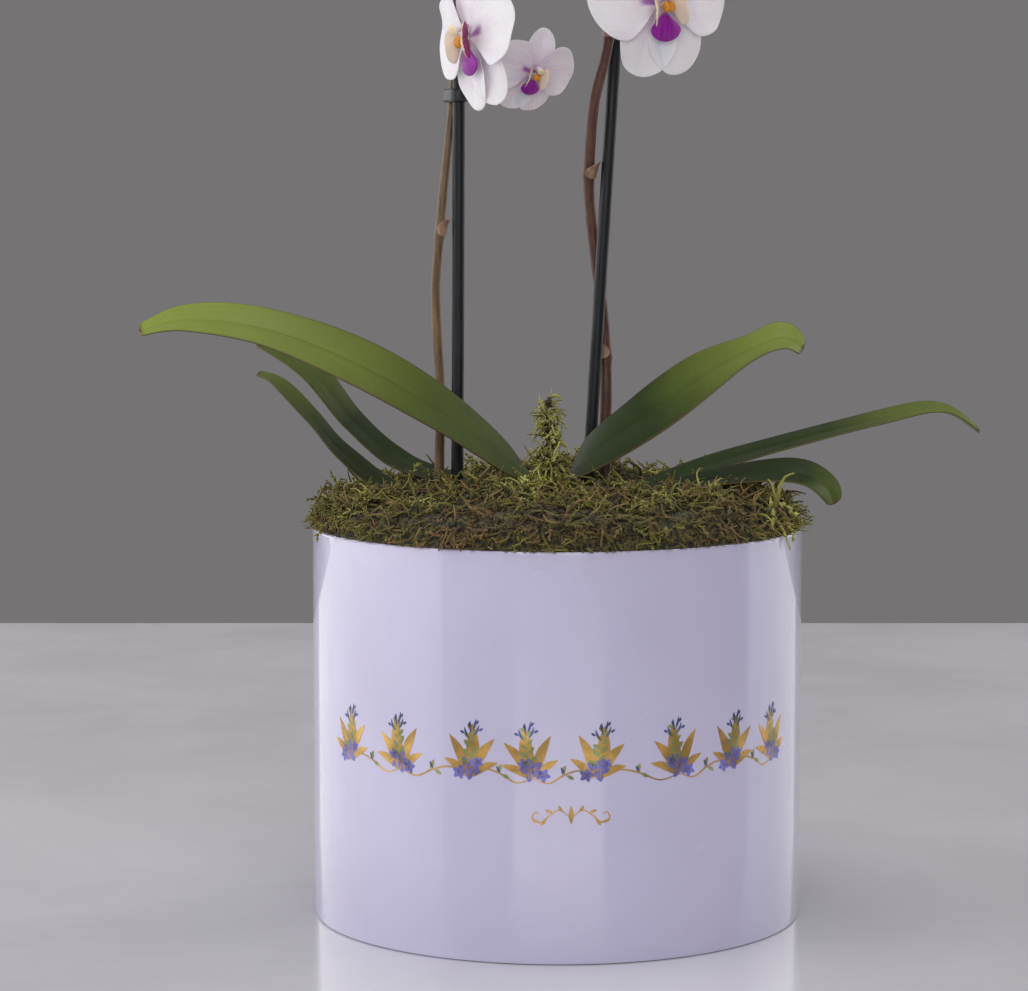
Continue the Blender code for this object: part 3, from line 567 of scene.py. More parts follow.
def leaf_finish():
    """A fleshy leaf: mottled green with fine veins and a dry tip, with painted shade towards its
    base, in its midrib groove and along its edges.
    """
    dark, pale, tip = colours().leaf_dark, colours().leaf_pale, colours().leaf_tip
    finish = Finish("orchid_leaf", Roughness=0.45, Coat_Weight=0.04, Coat_Roughness=0.3,
                    Specular_IOR_Level=0.16)
    along, across, tone = finish.place()
    under = finish.maths("LESS_THAN", tone, -0.5)
    tone = finish.plus(tone, finish.times(under, 2.0))
    mottle = finish.noise(26.0, 5.0, 0.6)
    # painted sheen and painted shade: the leaf is lit up away from its base and goes darker down
    # towards the crown
    painted_sheen = finish.span(along, 0.15, 0.92)
    level = finish.plus(tone, finish.times(finish.minus(mottle, 0.5), 0.35))
    level = finish.plus(level, finish.times(finish.minus(painted_sheen, 0.95), 0.95), True)
    body = finish.mix(level, dark, pale)
    lanes = finish.lanes((along, across, tone), 34.0, 3.0, 2.0)
    body = finish.mix(finish.span(lanes, 0.35, 0.65, 0.0, 0.22), body, tinted(dark, 1.2))
    middle = finish.maths("ABSOLUTE", across)
    # painted shade: the midrib groove is darkened as if shaded
    painted_groove_shade = finish.span(middle, 0.05, 0.0)
    body = finish.mix(finish.times(painted_groove_shade, 0.45), body, tinted(dark, 1.5))
    # painted shade: a dark brown band along both edges, where a leaf's rim falls into shade
    edge = finish.span(middle, 0.90, 0.985)
    body = finish.mix(finish.times(edge, 0.75), body, tinted(tip, 0.75))
    light_under = finish.mix(finish.times(level, 0.4), body, pale)
    body = finish.mix(under, body, light_under)
    dry = finish.span(finish.plus(along, finish.times(mottle, 0.04)), 0.982, 1.012)
    finish.drive("Base Color", finish.mix(dry, body, tip))
    finish.drive("Roughness", finish.span(mottle, 0.3, 0.7, 0.36, 0.52))
    finish.bump(finish.plus(lanes, finish.times(mottle, 0.6)), 0.35, 0.0003)
    return finish.material


def petal_finish():
    """White: veins that fan out from the hub, a lilac flush, a streak at each petal's root."""
    white, flush = colours().petal, colours().flush
    finish = Finish("petal_white", Roughness=0.52, Subsurface_Weight=0.18, Subsurface_Scale=0.002,
                    Sheen_Weight=0.15, Specular_IOR_Level=0.35)
    along, across, lilac = finish.place()
    broad = finish.maths("GREATER_THAN", lilac, 1.5)
    lilac = finish.minus(lilac, finish.times(broad, 2.0))
    veins = finish.lanes((along, across, lilac), 15.0, 1.4, 3.0, 0.6, distortion=0.4)
    near = finish.span(along, 0.75, 0.0)
    amount = finish.times(finish.plus(finish.times(near, 0.5), 0.25), lilac)
    lines = finish.times(finish.span(veins, 0.52, 0.62), 0.30)
    amount = finish.plus(amount, finish.times(lines, finish.plus(lilac, 0.1)), True)
    cloud = finish.noise(90.0, 3.0)
    body = finish.mix(finish.span(cloud, 0.3, 0.7), tinted(white, 0.94), white)
    body = finish.mix(amount, body, flush)
    streak = finish.times(finish.span(finish.maths("ABSOLUTE", across), 0.22, 0.06), broad)
    length = finish.plus(along, finish.times(veins, 0.12))
    streak = finish.times(streak, finish.span(length, 0.40, 0.26))
    finish.drive("Base Color", finish.mix(finish.times(streak, 0.85), body, colours().petal_mark))
    grain = finish.noise(1500.0, 2.0)
    finish.bump(finish.plus(finish.times(veins, 2.0), finish.times(grain, 0.3)),
                0.35, 0.00025)
    return finish.material


def lip_finish():
    """A purple tongue, magenta side lobes with cream outsides, and a freckled yellow callus."""
    tongue, side, callus = colours().lip, colours().lip_side, colours().callus
    cream = shade(236, 220, 196)
    finish = Finish("lip_magenta", Roughness=0.42, Sheen_Weight=0.1, Specular_IOR_Level=0.3)
    along, across, kind = finish.place()
    veins = finish.lanes((along, across, kind), 7.0, 1.2, 3.0, 0.6)
    rich = finish.mix(finish.span(veins, 0.35, 0.65), tinted(tongue, 0.7), tinted(tongue, 1.25))
    base = finish.span(finish.plus(along, finish.times(veins, 0.25)), 0.34, 0.12)
    rich = finish.mix(base, rich, cream)
    wing = finish.mix(finish.span(veins, 0.35, 0.6), tinted(side, 0.7), tinted(side, 1.2))
    root = finish.span(finish.plus(along, finish.times(veins, 0.3)), 0.42, 0.2)
    wing = finish.mix(root, wing, cream)
    tip = finish.span(finish.plus(along, finish.times(veins, 0.2)), 1.0, 1.1)
    wing = finish.mix(tip, wing, cream)
    wing = finish.mix(finish.span(kind, 1.08, 1.26, 0.0, 0.85), wing, cream)
    freckles = finish.span(finish.cells(1500.0), 0.32, 0.22)
    gold = finish.mix(finish.times(freckles, 0.8), callus, tinted(side, 0.9))
    is_wing = finish.maths("GREATER_THAN", kind, 0.5)
    is_callus = finish.maths("GREATER_THAN", kind, 1.5)
    finish.drive("Base Color", finish.mix(is_callus, finish.mix(is_wing, rich, wing), gold))
    finish.bump(finish.plus(veins, finish.times(finish.noise(1400.0), 0.3)), 0.4, 0.0002)
    return finish.material


def column_finish():
    """The column: white with a lilac throat and a cream cap."""
    finish = Finish("column_white", Roughness=0.4, Subsurface_Weight=0.15, Subsurface_Scale=0.001)
    along, across, kind = finish.place()
    mottle = finish.noise(600.0, 3.0)
    throat = finish.times(finish.span(along, 0.6, 0.05), finish.span(mottle, 0.3, 0.6, 0.5, 1.0))
    body = finish.mix(throat, shade(240, 230, 234), shade(176, 96, 168))
    cap = finish.span(along, 0.82, 0.9)
    finish.drive("Base Color", finish.mix(cap, body, shade(238, 222, 176)))
    finish.bump(mottle, 0.3, 0.0002)
    return finish.material


def stem_finish(name, colour):
    """A flower spike: streaked, with pale dots; its bracts are dry and its pedicels pale."""
    finish = Finish(name, Roughness=0.46, Specular_IOR_Level=0.4)
    along, across, kind = finish.place()
    streaks = finish.noise(1.0, 4.0, 0.65, vector=finish.stretched(700.0, 60.0))
    patches = finish.noise(45.0, 3.0)
    body = finish.mix(finish.span(streaks, 0.3, 0.7), tinted(colour, 0.55), tinted(colour, 1.5))
    patchy = finish.span(patches, 0.45, 0.75, 0.0, 0.6)
    body = finish.mix(patchy, body, tinted(colours().spike_left, 0.8))
    dots = finish.span(finish.cells(520.0), 0.16, 0.08)
    body = finish.mix(finish.times(dots, 0.5), body, tinted(colour, 2.4))
    pedicel, bract = colours().pedicel, colours().bract
    stalk = finish.mix(finish.span(streaks, 0.3, 0.7), tinted(pedicel, 0.7), pedicel)
    body = finish.mix(finish.span(kind, 0.2, 0.9), body, stalk)
    dry = finish.mix(finish.span(streaks, 0.3, 0.7), tinted(bract, 0.5), bract)
    finish.drive("Base Color", finish.mix(finish.maths("GREATER_THAN", kind, 1.5), body, dry))
    finish.drive("Roughness", finish.span(streaks, 0.3, 0.8, 0.36, 0.6))
    finish.bump(streaks, 0.45, 0.0003)
    return finish.material


def stake_finish():
    """Black coated rod: fine draw lines along it, and bluish-grey patches that are partly dust and
    partly a painted highlight.
    """
    colour = colours().stake
    finish = Finish("stake_black", Roughness=0.40, Specular_IOR_Level=0.3)
    lines = finish.noise(1.0, 3.0, vector=finish.stretched(900.0, 25.0))
    dust = finish.noise(70.0, 5.0, 0.7)
    body = finish.mix(finish.span(lines, 0.3, 0.7), tinted(colour, 0.6), tinted(colour, 1.6))
    # bluish-grey patches: partly a dusty bloom, partly a painted highlight
    dust_and_sheen = finish.span(dust, 0.5, 0.75, 0.0, 0.4)
    finish.drive("Base Color", finish.mix(dust_and_sheen, body, shade(46, 54, 62)))
    finish.drive("Roughness", finish.span(dust, 0.3, 0.7, 0.34, 0.52))
    finish.bump(lines, 0.35, 0.0002)
    return finish.material


def clip_finish():
    """Dark moulded plastic with a faint texture."""
    finish = Finish("clip_plastic", Roughness=0.4)
    grain = finish.noise(900.0, 3.0)
    finish.drive("Base Color", finish.mix(grain, shade(20, 23, 26), shade(36, 41, 46)))
    finish.bump(grain, 0.3, 0.0001)
    return finish.material


def moss_finish(name, ground):
    """Every strand has its own tone, from dry brown to fresh green, and goes dark at its foot with
    painted shade; the mat under them is darkened in patches with painted shade.
    """
    dark, brown = colours().moss_dark, colours().moss_brown
    green, pale = colours().moss_green, colours().moss_pale
    finish = Finish(name, Roughness=0.85, Sheen_Weight=0.15, Specular_IOR_Level=0.2)
    along, across, tone = finish.place()
    patches = finish.noise(38.0, 3.0, 0.6)
    fine = finish.noise(520.0, 5.0, 0.75)
    mixed = finish.plus(finish.times(tone, 0.62), finish.times(patches, 0.55))
    mixed = finish.plus(mixed, finish.times(finish.minus(fine, 0.5), 0.35))
    ramp_node = finish.add("ValToRGB", {"Fac": mixed})
    ramp = ramp_node.color_ramp
    stops = ((0.16, dark), (0.38, brown), (0.54, tinted(green, 0.6)), (0.76, green), (0.98, pale))
    while len(ramp.elements) < len(stops):
        ramp.elements.new(0.5)
    for element, (position, colour) in zip(ramp.elements, stops):
        element.position = position
        element.color = colour
    # painted shade: the mat is darkened in patches and each strand towards its foot, as if deep in
    # the moss's shadow
    if ground:
        light = finish.span(fine, 0.42, 0.62, 0.03, 0.80)
    else:
        light = finish.span(along, 0.0, 0.6, 0.10, 1.0)
    painted_shadow = finish.join(light, light, light)
    finish.drive("Base Color", finish.mix(1.0, ramp_node.outputs["Color"], painted_shadow, "MULTIPLY"))
    finish.bump(fine, 1.0, 0.0020 if ground else 0.0006)
    return finish.material


def bud_finish():
    """Closed buds: green-white, flushed lilac along the seams."""
    finish = Finish("bud_pale", Roughness=0.45, Subsurface_Weight=0.1, Subsurface_Scale=0.001)
    along, across, seam = finish.place()
    mottle = finish.noise(260.0, 3.0)
    body = finish.mix(finish.span(along, 0.2, 0.95), colours().bud, shade(216, 208, 196))
    body = finish.mix(finish.times(finish.span(seam, 0.7, 1.0), 0.6), body, colours().flush)
    spots = finish.span(mottle, 0.4, 0.8, 0.0, 0.3)
    finish.drive("Base Color", finish.mix(spots, body, shade(150, 120, 120)))
    finish.bump(mottle, 0.25, 0.0002)
    return finish.material


def plain_grain_finish(name, dark, light, scale, bump, roughness):
    """Grainy stuff inside the pot: bark chips, packing foam, root skin or moulded plastic."""
    finish = Finish(name, Roughness=roughness)
    chips = finish.cells(scale)
    fine = finish.noise(scale * 3.0, 4.0, 0.65)
    blend = finish.plus(finish.times(chips, 0.5), finish.times(fine, 0.6), True)
    finish.drive("Base Color", finish.mix(blend, dark, light))
    rougher = min(roughness * 1.15, 1.0)
    finish.drive("Roughness", finish.span(fine, 0.2, 0.8, roughness * 0.8, rougher))
    finish.bump(blend, 0.6, bump)
    return finish.material


# ---- the pot and its ornament

def build_pot():
    """The glazed cylinder: a shallow foot, straight walls, a rounded rim and a glazed inside."""
    radius, height, wall = sizes().pot_radius, sizes().pot_height, sizes().pot_wall
    rim = sizes().rim_round
    foot, floor = 0.0012, 0.003
    profile = [(0.0, 0.0008), (radius - 0.012, 0.0008), (radius - 0.011, 0.0)]
    profile += [(radius - foot * 0.9, 0.0), (radius - foot * 0.25, foot * 0.3), (radius, foot)]
    profile += [(radius, height * share) for share in (0.25, 0.5, 0.75)]
    profile.append((radius, height - rim * 1.2))
    centre = radius - wall / 2
    for step in range(7):
        angle = math.pi * step / 6
        profile.append((centre + wall / 2 * math.cos(angle), height - rim + rim * math.sin(angle)))
    profile += [(radius - wall, height - 0.012), (radius - wall, floor + 0.002)]
    profile += [(radius - wall - 0.002, floor), (0.0, floor)]
    bm = new_body()
    add_turned(bm, profile, 160)
    show_piece("glazed_pot", bm, glaze_finish(), ["pot_shell"], sharp=40)


class Ornament:
    """Draws flat foil shapes in mm round a point of the pot's wall."""

    def __init__(self):
        self.bodies = {name: new_body() for name in ("gold", "leaf", "blossom", "twig")}
        self.angle = 0.0
        self.height = 0.0

    def on_wall(self, x, y):
        """A point of the drawing, on the wall."""
        radius = sizes().pot_radius
        turn = self.angle + x * MM / radius
        return Vector((radius * math.sin(turn), -radius * math.cos(turn), self.height + y * MM))

    def press(self, kind, faces):
        """Gives a flat shape the foil's thickness, just proud of the glaze."""
        bm = self.bodies[kind]
        rise = sizes().foil_rise
        lower = verts_of(faces)
        for verts, lift in ((doubled(bm, faces), rise), (lower, -rise)):
            for vert in verts:
                out = Vector((vert.co.x, vert.co.y, 0.0)).normalized()
                vert.co += out * lift

    def blade(self, kind, x, y, tilt, length, width, bend=0.0, blunt=0.0):
        """A leaf-shaped stroke from its foot at x, y, tilted from upright and bent sideways."""
        lean = math.radians(tilt)

        def shape(along, across):
            share = (along + 1) / 2
            taper = blunt + (1 - blunt) * math.sin(math.pi * min(max(share, 0.02), 0.98)) ** 0.5
            side = across * width / 2 * taper + bend * math.sin(math.pi * share)
            up = share * length
            point_x = x + side * math.cos(lean) + up * math.sin(lean)
            point_y = y + up * math.cos(lean) - side * math.sin(lean)
            return self.on_wall(point_x, point_y), Vector((share, across, 0.0))
        self.press(kind, add_sheet(self.bodies[kind], 4, 10, shape))

    def stroke(self, kind, points, width):
        """A fine line through points, thinner at its ends."""
        def shape(along, across):
            share = (along + 1) / 2
            here = Vector(curve_at(points, share))
            ahead = Vector(curve_at(points, share + 0.02)) - Vector(curve_at(points, share - 0.02))
            aside = Vector((-ahead.y, ahead.x)).normalized()
            half = width / 2 * (0.35 + 0.65 * math.sin(math.pi * share))
            point = here + aside * across * half
            return self.on_wall(point.x, point.y), Vector((share, across, 0.0))
        self.press(kind, add_sheet(self.bodies[kind], 1, 22, shape, rounded=False))

    def blossom(self, x, y, size, turn):
        for petal in range(5):
            self.blade("blossom", x, y, turn + petal * 72.0, size, size * 0.62, blunt=0.25)
        self.blade("gold", x - 0.5, y - 0.5, 45.0, 1.3, 1.2, blunt=0.6)


def draw_sprig(art, number):
    """A fan of gold blades with small leaves, blossoms at its foot and twigs on top."""
    rng = random.Random(100 + number)
    hand = 1.0 if number % 2 == 0 else -1.0
    tilt = hand * rng.uniform(3.0, 9.0)
    art.blade("gold", 0.0, -9.5, tilt, 19.0, 4.8, bend=hand * 0.8, blunt=0.12)
    for side in (-1.0, 1.0):
        for out, lean, low, high, width, bend in ((1.2, 27.0, 14.5, 16.5, 3.5, 1.3),
                                                  (1.6, 56.0, 9.5, 11.0, 2.7, 1.1)):
            length = rng.uniform(low, high)
            art.blade("gold", side * out, -9.2, tilt + side * lean, length, width,
                      bend=-side * bend)
    sway = math.sin(math.radians(tilt))
    for step in range(9):
        up = -4.8 + step * 1.5
        side = 1.0 if step % 2 else -1.0
        length = rng.uniform(3.4, 4.8) * (1.0 - 0.05 * step)
        art.blade("leaf", sway * (up + 9.5), up, side * rng.uniform(34, 66), length, length * 0.44)
    for step, side in enumerate((-1.0, 1.0, -0.2, 0.6)):
        middle = sway * 15.0
        art.blade("twig", middle + side * 0.7, 4.0 + step * 0.9, side * 26.0, 4.6, 0.8,
                  bend=side * 0.3)
        art.blade("twig", middle + side * 2.6, 5.8 + step * 1.1, side * 60.0, 1.9, 0.9)
    for x, y, size in ((0.3, -6.0, 4.4), (-3.6, -7.8, 2.6), (3.4, -4.0, 2.1)):
        art.blossom(hand * x, y, size, rng.uniform(0, 72))


def draw_vine(art, length, number):
    """A fine gold vine that swings from one sprig to the next, with leaves at its middle."""
    dip = -2.4 if number % 2 else 2.0
    route = [(0.0, -8.8), (length * 0.25, -8.2 + dip), (length * 0.5, -7.6),
             (length * 0.75, -8.6 - dip), (length, -8.8)]
    art.stroke("gold", route, 0.6)
    art.blade("leaf", length * 0.5 - 1.0, -7.6, 20.0, 3.6, 1.5)
    art.blade("leaf", length * 0.5 + 0.6, -7.8, 118.0, 3.0, 1.3)
    art.blade("twig", length * 0.5, -7.4, -30.0, 2.8, 0.9)


# for the right half of the flourish: its wave, and the foot and tilt of each leaf on it
WAVE = ((0.6, 0.0), (4.0, 2.4), (7.6, 0.4), (10.4, -2.0), (13.4, -0.6), (12.4, 1.6), (10.8, 0.8))
WAVE_LEAVES = ((3.0, 1.6, 30.0), (6.4, 1.6, 75.0), (8.6, -1.0, 140.0), (11.0, -2.0, 70.0))


def draw_flourish(art):
    """The small gold flourish below the band: two waves that part from a middle leaf."""
    for hand in (-1.0, 1.0):
        art.stroke("gold", [(x * hand, y) for x, y in WAVE], 0.55)
        for x, y, tilt in WAVE_LEAVES:
            art.blade("gold", x * hand, y, tilt * hand, 2.8, 1.0)
    art.blade("gold", 0.0, -2.6, 0.0, 6.4, 1.8)


def build_ornament():
    art = Ornament()
    art.height = BAND_HEIGHT
    for number, degrees in enumerate(SPRIG_ANGLES):
        art.angle = math.radians(degrees)
        if number + 1 < len(SPRIG_ANGLES):
            gap = math.radians(SPRIG_ANGLES[number + 1] - degrees)
            draw_vine(art, gap * sizes().pot_radius / MM, number)
        draw_sprig(art, number)
    art.height = FLOURISH_HEIGHT
    art.angle = math.radians(FLOURISH_ANGLE)
    draw_flourish(art)
    foils = {
        "gold": ("gold_foil", colours().gold, 0.55),
        "leaf": ("foil_leaf", colours().foil_leaf, 0.1),
        "blossom": ("foil_blossom", colours().foil_blossom, 0.1),
        "twig": ("foil_twig", colours().foil_twig, 0.1),
    }
    for kind, bm in art.bodies.items():
        show_piece(f"ornament_{kind}", bm, foil_finish(*foils[kind]), sharp=30)


# ---- what is inside the pot

def finish_inside():
    """The pieces that the moss hides keep their CAD shape, with their own finishes."""
    bark = colours().bark
    bark_tones = (tinted(bark, 0.35), tinted(bark, 1.3))
    looks = {
        "nursery_pot": (
            "nursery_plastic", shade(48, 44, 42), shade(72, 68, 66), 260.0, 0.0002, 0.45),
        "packing_ring": (
            "packing_foam", shade(52, 72, 44), shade(92, 116, 78), 340.0, 0.0008, 0.95),
        "bark_medium": ("bark_chips", *bark_tones, 110.0, 0.0030, 0.9),
        "crown_and_roots": (
            "crown_skin", shade(72, 84, 44), shade(150, 148, 112), 190.0, 0.0006, 0.55),
    }
    for node, look in looks.items():
        material = plain_grain_finish(*look)
        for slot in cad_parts[node].material_slots:
            slot.material = material


# ---- leaves

def leaf_frame(stations, share):
    """Centre, direction across, direction up and half width at a share of the leaf's length."""
    step = 0.01
    x, y, rise, half_width, lean = curve_at(stations, share)
    ahead = in_metres(curve_at(stations, share + step)[:3])
    behind = in_metres(curve_at(stations, share - step)[:3])
    along = (ahead - behind).normalized()
    flat = along.cross(UP).normalized()
    up = flat.cross(along)
    angle = math.radians(lean) * (1.0 if flat.y > 0 else -1.0)
    across = flat * math.cos(angle) + up * math.sin(angle)
    return above_rim(x, y, rise), across, across.cross(along), half_width * MM


def build_leaf(name, stations, material):
    """A strap leaf: folded along a grooved midrib, and thin at its slightly wavy edges."""
    tone = LEAF_TONES[name]
    bm = new_body()

    def shape(along, across):
        share = 1.0 - (1.0 - (along + 1) / 2) ** 1.3
        centre, side, up, half_width = leaf_frame(stations, share)
        end = max(0.0, (share - 0.982) / 0.018)
        offset = across * half_width * math.sqrt(max(1.0 - end * end, 0.0))
        groove = LEAF_GROOVE_DEPTH * math.exp(-(offset / LEAF_GROOVE_WIDTH) ** 2)
        ripple = noise.noise(Vector((share * 5.0, across * 1.5, tone * 9.0)))
        wave = LEAF_WAVE * across * across * ripple
        fold = LEAF_FOLD * math.sqrt(offset * offset + 0.000001)
        return centre + side * offset + up * (fold - groove + wave), Vector((share, across, tone))

    faces = add_sheet(bm, 12, 52, shape, rounded=False)
    thick = sizes().leaf_thickness
    thicken(bm, faces, lambda mark: thick * (1.0 - 0.5 * mark.y ** 2) * (1.0 - 0.35 * mark.x),
            lambda mark: Vector((mark.x, mark.y, mark.z - 2.0)))
    bmesh.ops.remove_doubles(bm, verts=bm.verts, dist=WELD)
    show_piece(f"{name}_blade", bm, material, [name], smooth=1)


def build_leaves():
    material = leaf_finish()
    for name, stations in LEAVES.items():
        build_leaf(name, stations, material)


# ---- stakes, spikes and clips

def stake_point(side, height):
    low, high = (Vector(end) * MM for end in STAKE_LINES[side])
    at = low.lerp(high, (height - POT_HIGH.z) / STAKE_LINE_SPAN)
    return Vector((at.x, at.y, height))


def build_stakes():
    """Support rods with rounded tops."""
    material = stake_finish()
    for side in SIDES:
        node = f"{side}_stake"
        low = stake_point(side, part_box(node)[0][2])
        top = stake_point(side, POT_HIGH.z + STAKE_TOPS[side])
        radius = sizes().stake_radius
        length = (top - low).length
        profile = [(0.0, 0.0), (radius * 0.45, 0.0), (radius, radius * 1.6)]
        profile += [(radius, length * step / 6) for step in range(1, 6)]
        for step in range(5):
            angle = math.pi / 2 * step / 4
            profile.append((radius * math.cos(angle), length - radius + radius * math.sin(angle)))
        bm = new_body()
        add_turned(bm, profile, 24)
        bmesh.ops.transform(bm, matrix=standing(low, top - low), verts=bm.verts)
        show_piece(f"{side}_support_rod", bm, material, [node], sharp=50)


def spike_radius(side, share):
    base = SPIKE_RADII[side]
    return base + (SPIKE_TIP_RADIUS - base) * share ** 2


def spike_route(side):
    """The spike's centre line from root to tip, clear of its stake wherever it passes it."""
    route = []
    rows = 34
    for row in range(rows + 1):
        share = row / rows
        point = above_rim(*curve_at(SPIKE_STATIONS[side], share))
        away = point - stake_point(side, point.z)
        needed = sizes().stake_radius + spike_radius(side, share) + SPIKE_TO_STAKE
        if point.z < POT_HIGH.z + STAKE_TOPS[side] + needed and away.length < needed:
            point += away.normalized() * (needed - away.length)
        route.append(point)
    return route


def share_at_rise(route, rise):
    """How far along a spike it passes a height in mm above the rim, by halving."""
    low, high = 0.25, 1.0
    for _ in range(20):
        middle = (low + high) / 2
        if curve_at(route, middle)[2] < POT_HIGH.z + rise * MM:
            low = middle
        else:
            high = middle
    return low


def flower_matrix(flower):
    """Where a flower stands: its local +Z is its face, and its local +Y is its top."""
    x, y, rise, turn, lift, roll = flower[:6]
    turned, lifted, rolled = (
        Matrix.Rotation(math.radians(angle), 4, axis)
        for angle, axis in ((turn, "Z"), (90 - lift, "X"), (roll, "Z")))
    return Matrix.Translation(above_rim(x, y, rise)) @ (turned @ lifted) @ rolled


def bent_route(start, away, end, facing, pull):
    """A single bend that leaves start sideways and meets end squarely."""
    handles = (start, start + away * pull, end - facing * pull, end)
    route = []
    for row in range(9):
        t = row / 8
        weights = ((1 - t) ** 3, 3 * t * (1 - t) ** 2, 3 * t * t * (1 - t), t ** 3)
        route.append(sum((handle * weight for handle, weight in zip(handles, weights)), Vector()))
    return route


def add_bract(bm, centre, along, out, radius, length):
    """A dry scale that clasps the stem at a joint and stands off it at its tip."""
    side = along.cross(out).normalized()

    def shape(up, across):
        share = (up + 1) / 2
        turn = across * 1.9 * (1 - 0.45 * share)
        stand = radius * (1.12 + 0.55 * share ** 2)
        away = (out * math.cos(turn) + side * math.sin(turn)) * stand
        return centre + away + along * share * length, Vector((share, across, 2.0))
    faces = add_sheet(bm, 6, 6, shape)
    thicken(bm, faces, lambda mark: BRACT_THICKNESS)


def build_spike(side, material):
    """A flower spike with its joints, bracts and one pedicel for each flower and side bud."""
    route = spike_route(side)
    joints = [share_at_rise(route, rise) for rise in SPIKE_JOINTS[side]]
    rng = random.Random(side)
    bm = new_body()

    def radius_at(share):
        swell = sum(math.exp(-((share - joint) / 0.006) ** 2) for joint in joints)
        wander = 0.05 * noise.noise(Vector((share * 40.0, 0.0, 0.0)))
        return spike_radius(side, share) * (1.0 + 0.24 * swell + wander)

    add_tube(bm, route, 200, 14, radius_at,
             lambda share: Vector((share, 0.0, 0.6 * ease(0.72, 1.0, share))))
    for number, joint in enumerate(joints):
        centre = Vector(curve_at(route, joint))
        along = (Vector(curve_at(route, joint + 0.01)) - centre).normalized()
        turn = rng.uniform(-1.2, 1.2) + (0.0 if number % 2 else math.pi)
        out = Vector((math.cos(turn), -0.6, 0.0))
        out = (out - along * out.dot(along)).normalized()
        add_bract(bm, centre - along * 0.001, along, out, radius_at(joint), BRACT_LENGTH)
    thin = sizes().pedicel_radius

    def pedicel_radius(share):
        return thin * (1.0 + 0.45 * share ** 2 + 0.35 * math.exp(-(share / 0.06) ** 2))

    for flower in FLOWERS[side]:
        matrix = flower_matrix(flower)
        size, start_rise = flower[6:8]
        facing = (matrix.to_3x3() @ UP).normalized()
        back = matrix.translation - facing * 0.0007 * size
        start = Vector(curve_at(route, share_at_rise(route, start_rise)))
        away = Vector((1.0 if back.x > start.x else -1.0, -0.15, 0.25)).normalized()
        pull = max((back - start).length * 0.42, thin * 8)
        add_tube(bm, bent_route(start, away, back, facing, pull), 24, 10, pedicel_radius,
                 lambda share: Vector((share, 0.0, 0.3 + 0.7 * min(share * 2.5, 1.0))))
    for share, turn, size in BUDS:
        start, end, facing = bud_place(route, share, turn)
        if turn != 0:
            add_tube(bm, (start, start.lerp(end, 0.5), end), 8, 8, lambda at: thin * 0.85,
                     lambda at: Vector((at, 0.0, 1.0)))
    show_piece(f"{side}_flower_stem", bm, material, [f"{side}_spike"], sharp=50)


def build_spikes():
    build_spike("left", stem_finish("spike_olive", colours().spike_left))
    build_spike("right", stem_finish("spike_russet", colours().spike_right))


def add_clip(bm, stake, apart, inner):
    """A band round a stake at a place and the spike beside it."""
    middle = stake + apart / 2
    long_way = apart.normalized()
    wide_way = UP.cross(long_way)
    reach = inner + CLIP_OFFSET

    def shape(along, across):
        turn = math.pi * along
        hand = 1.0 if math.cos(turn) > 0 else -1.0
        shift = apart.length / 2 * hand * min(abs(math.cos(turn)) * 5, 1.0)
        point = middle + long_way * (shift + reach * math.cos(turn))
        point += wide_way * reach * math.sin(turn)
        return point + UP * across * CLIP_HALF_HEIGHT, Vector((along, across, 0.0))

    faces = add_sheet(bm, 2, 40, shape, rounded=False)
    bmesh.ops.remove_doubles(bm, verts=bm.verts, dist=WELD)
    thicken(bm, [face for face in faces if face.is_valid], lambda mark: CLIP_WALL)


def build_clips():
    """Small moulded clips, each a band round a stake and its spike."""
    material = clip_finish()
    for side in SIDES:
        route = spike_route(side)
        inner = max(sizes().stake_radius, SPIKE_RADII[side]) + CLIP_CLEARANCE
        for level, rise in zip(("lower", "upper"), CLIP_RISES[side]):
            stake = stake_point(side, POT_HIGH.z + rise * MM)
            spike = Vector(curve_at(route, share_at_rise(route, rise)))
            bm = new_body()
            add_clip(bm, stake, Vector((spike.x - stake.x, spike.y - stake.y, 0.0)), inner)
            show_piece(f"{side}_{level}_stem_clip", bm, material,
                       [f"{side}_clip_{level}"], smooth=1)


# ---- flowers and buds

# reach and half breadth of each kind of lobe
SEPAL = (0.0270, 0.0098)
LATERAL = (0.0270, 0.0118)
PETAL = (0.0292, 0.0158)


def add_lobe(bm, size, axis, reach, breadth, base, seed, lilac, cup, ruffle, claw):
    """A sepal or petal: a rounded sheet from the hub, cupped, ruffled and narrowed at its base."""
    turn = math.radians(axis)
    out = Vector((math.cos(turn), math.sin(turn), 0.0))
    side = Vector((-math.sin(turn), math.cos(turn), 0.0))

    def shape(along, across):
        share = (along + 1) / 2
        narrow = claw + (1 - claw) * ease(0.0, 0.42, share)
        width = breadth * across * narrow
        length = reach * (0.03 + 0.97 * share)
        rim = max(abs(along), abs(across), math.hypot(along, across)) ** 6
        bowl = -0.0030 * (length / 0.027) ** 2 + cup * across * across * 0.0016
        ridge = -0.0004 * math.exp(-(across / 0.16) ** 2) * math.sin(math.pi * share)
        folds = ruffle * rim * math.sin(across * 5.0 + share * 9.0 + seed) * 0.0007
        soft = 0.0008 * noise.noise(Vector((share * 2.2, across * 1.6, seed)))
        height = base + (bowl + ridge + folds + soft * share)
        point = (out * length + side * width) * size
        return point + UP * height * size, Vector((share, across, lilac))
    faces = add_sheet(bm, 14, 16, shape)
    thin = sizes().petal_thickness * size
    thicken(bm, faces, lambda mark: thin * (1.25 - 0.6 * max(mark.x, abs(mark.y))))


def lip_front(size):
    """Height of the lip's back at the hub, just ahead of the petals, for a flower of size 1."""
    return (0.0011 * size * 1.5 + 0.0003) / size + 0.0003


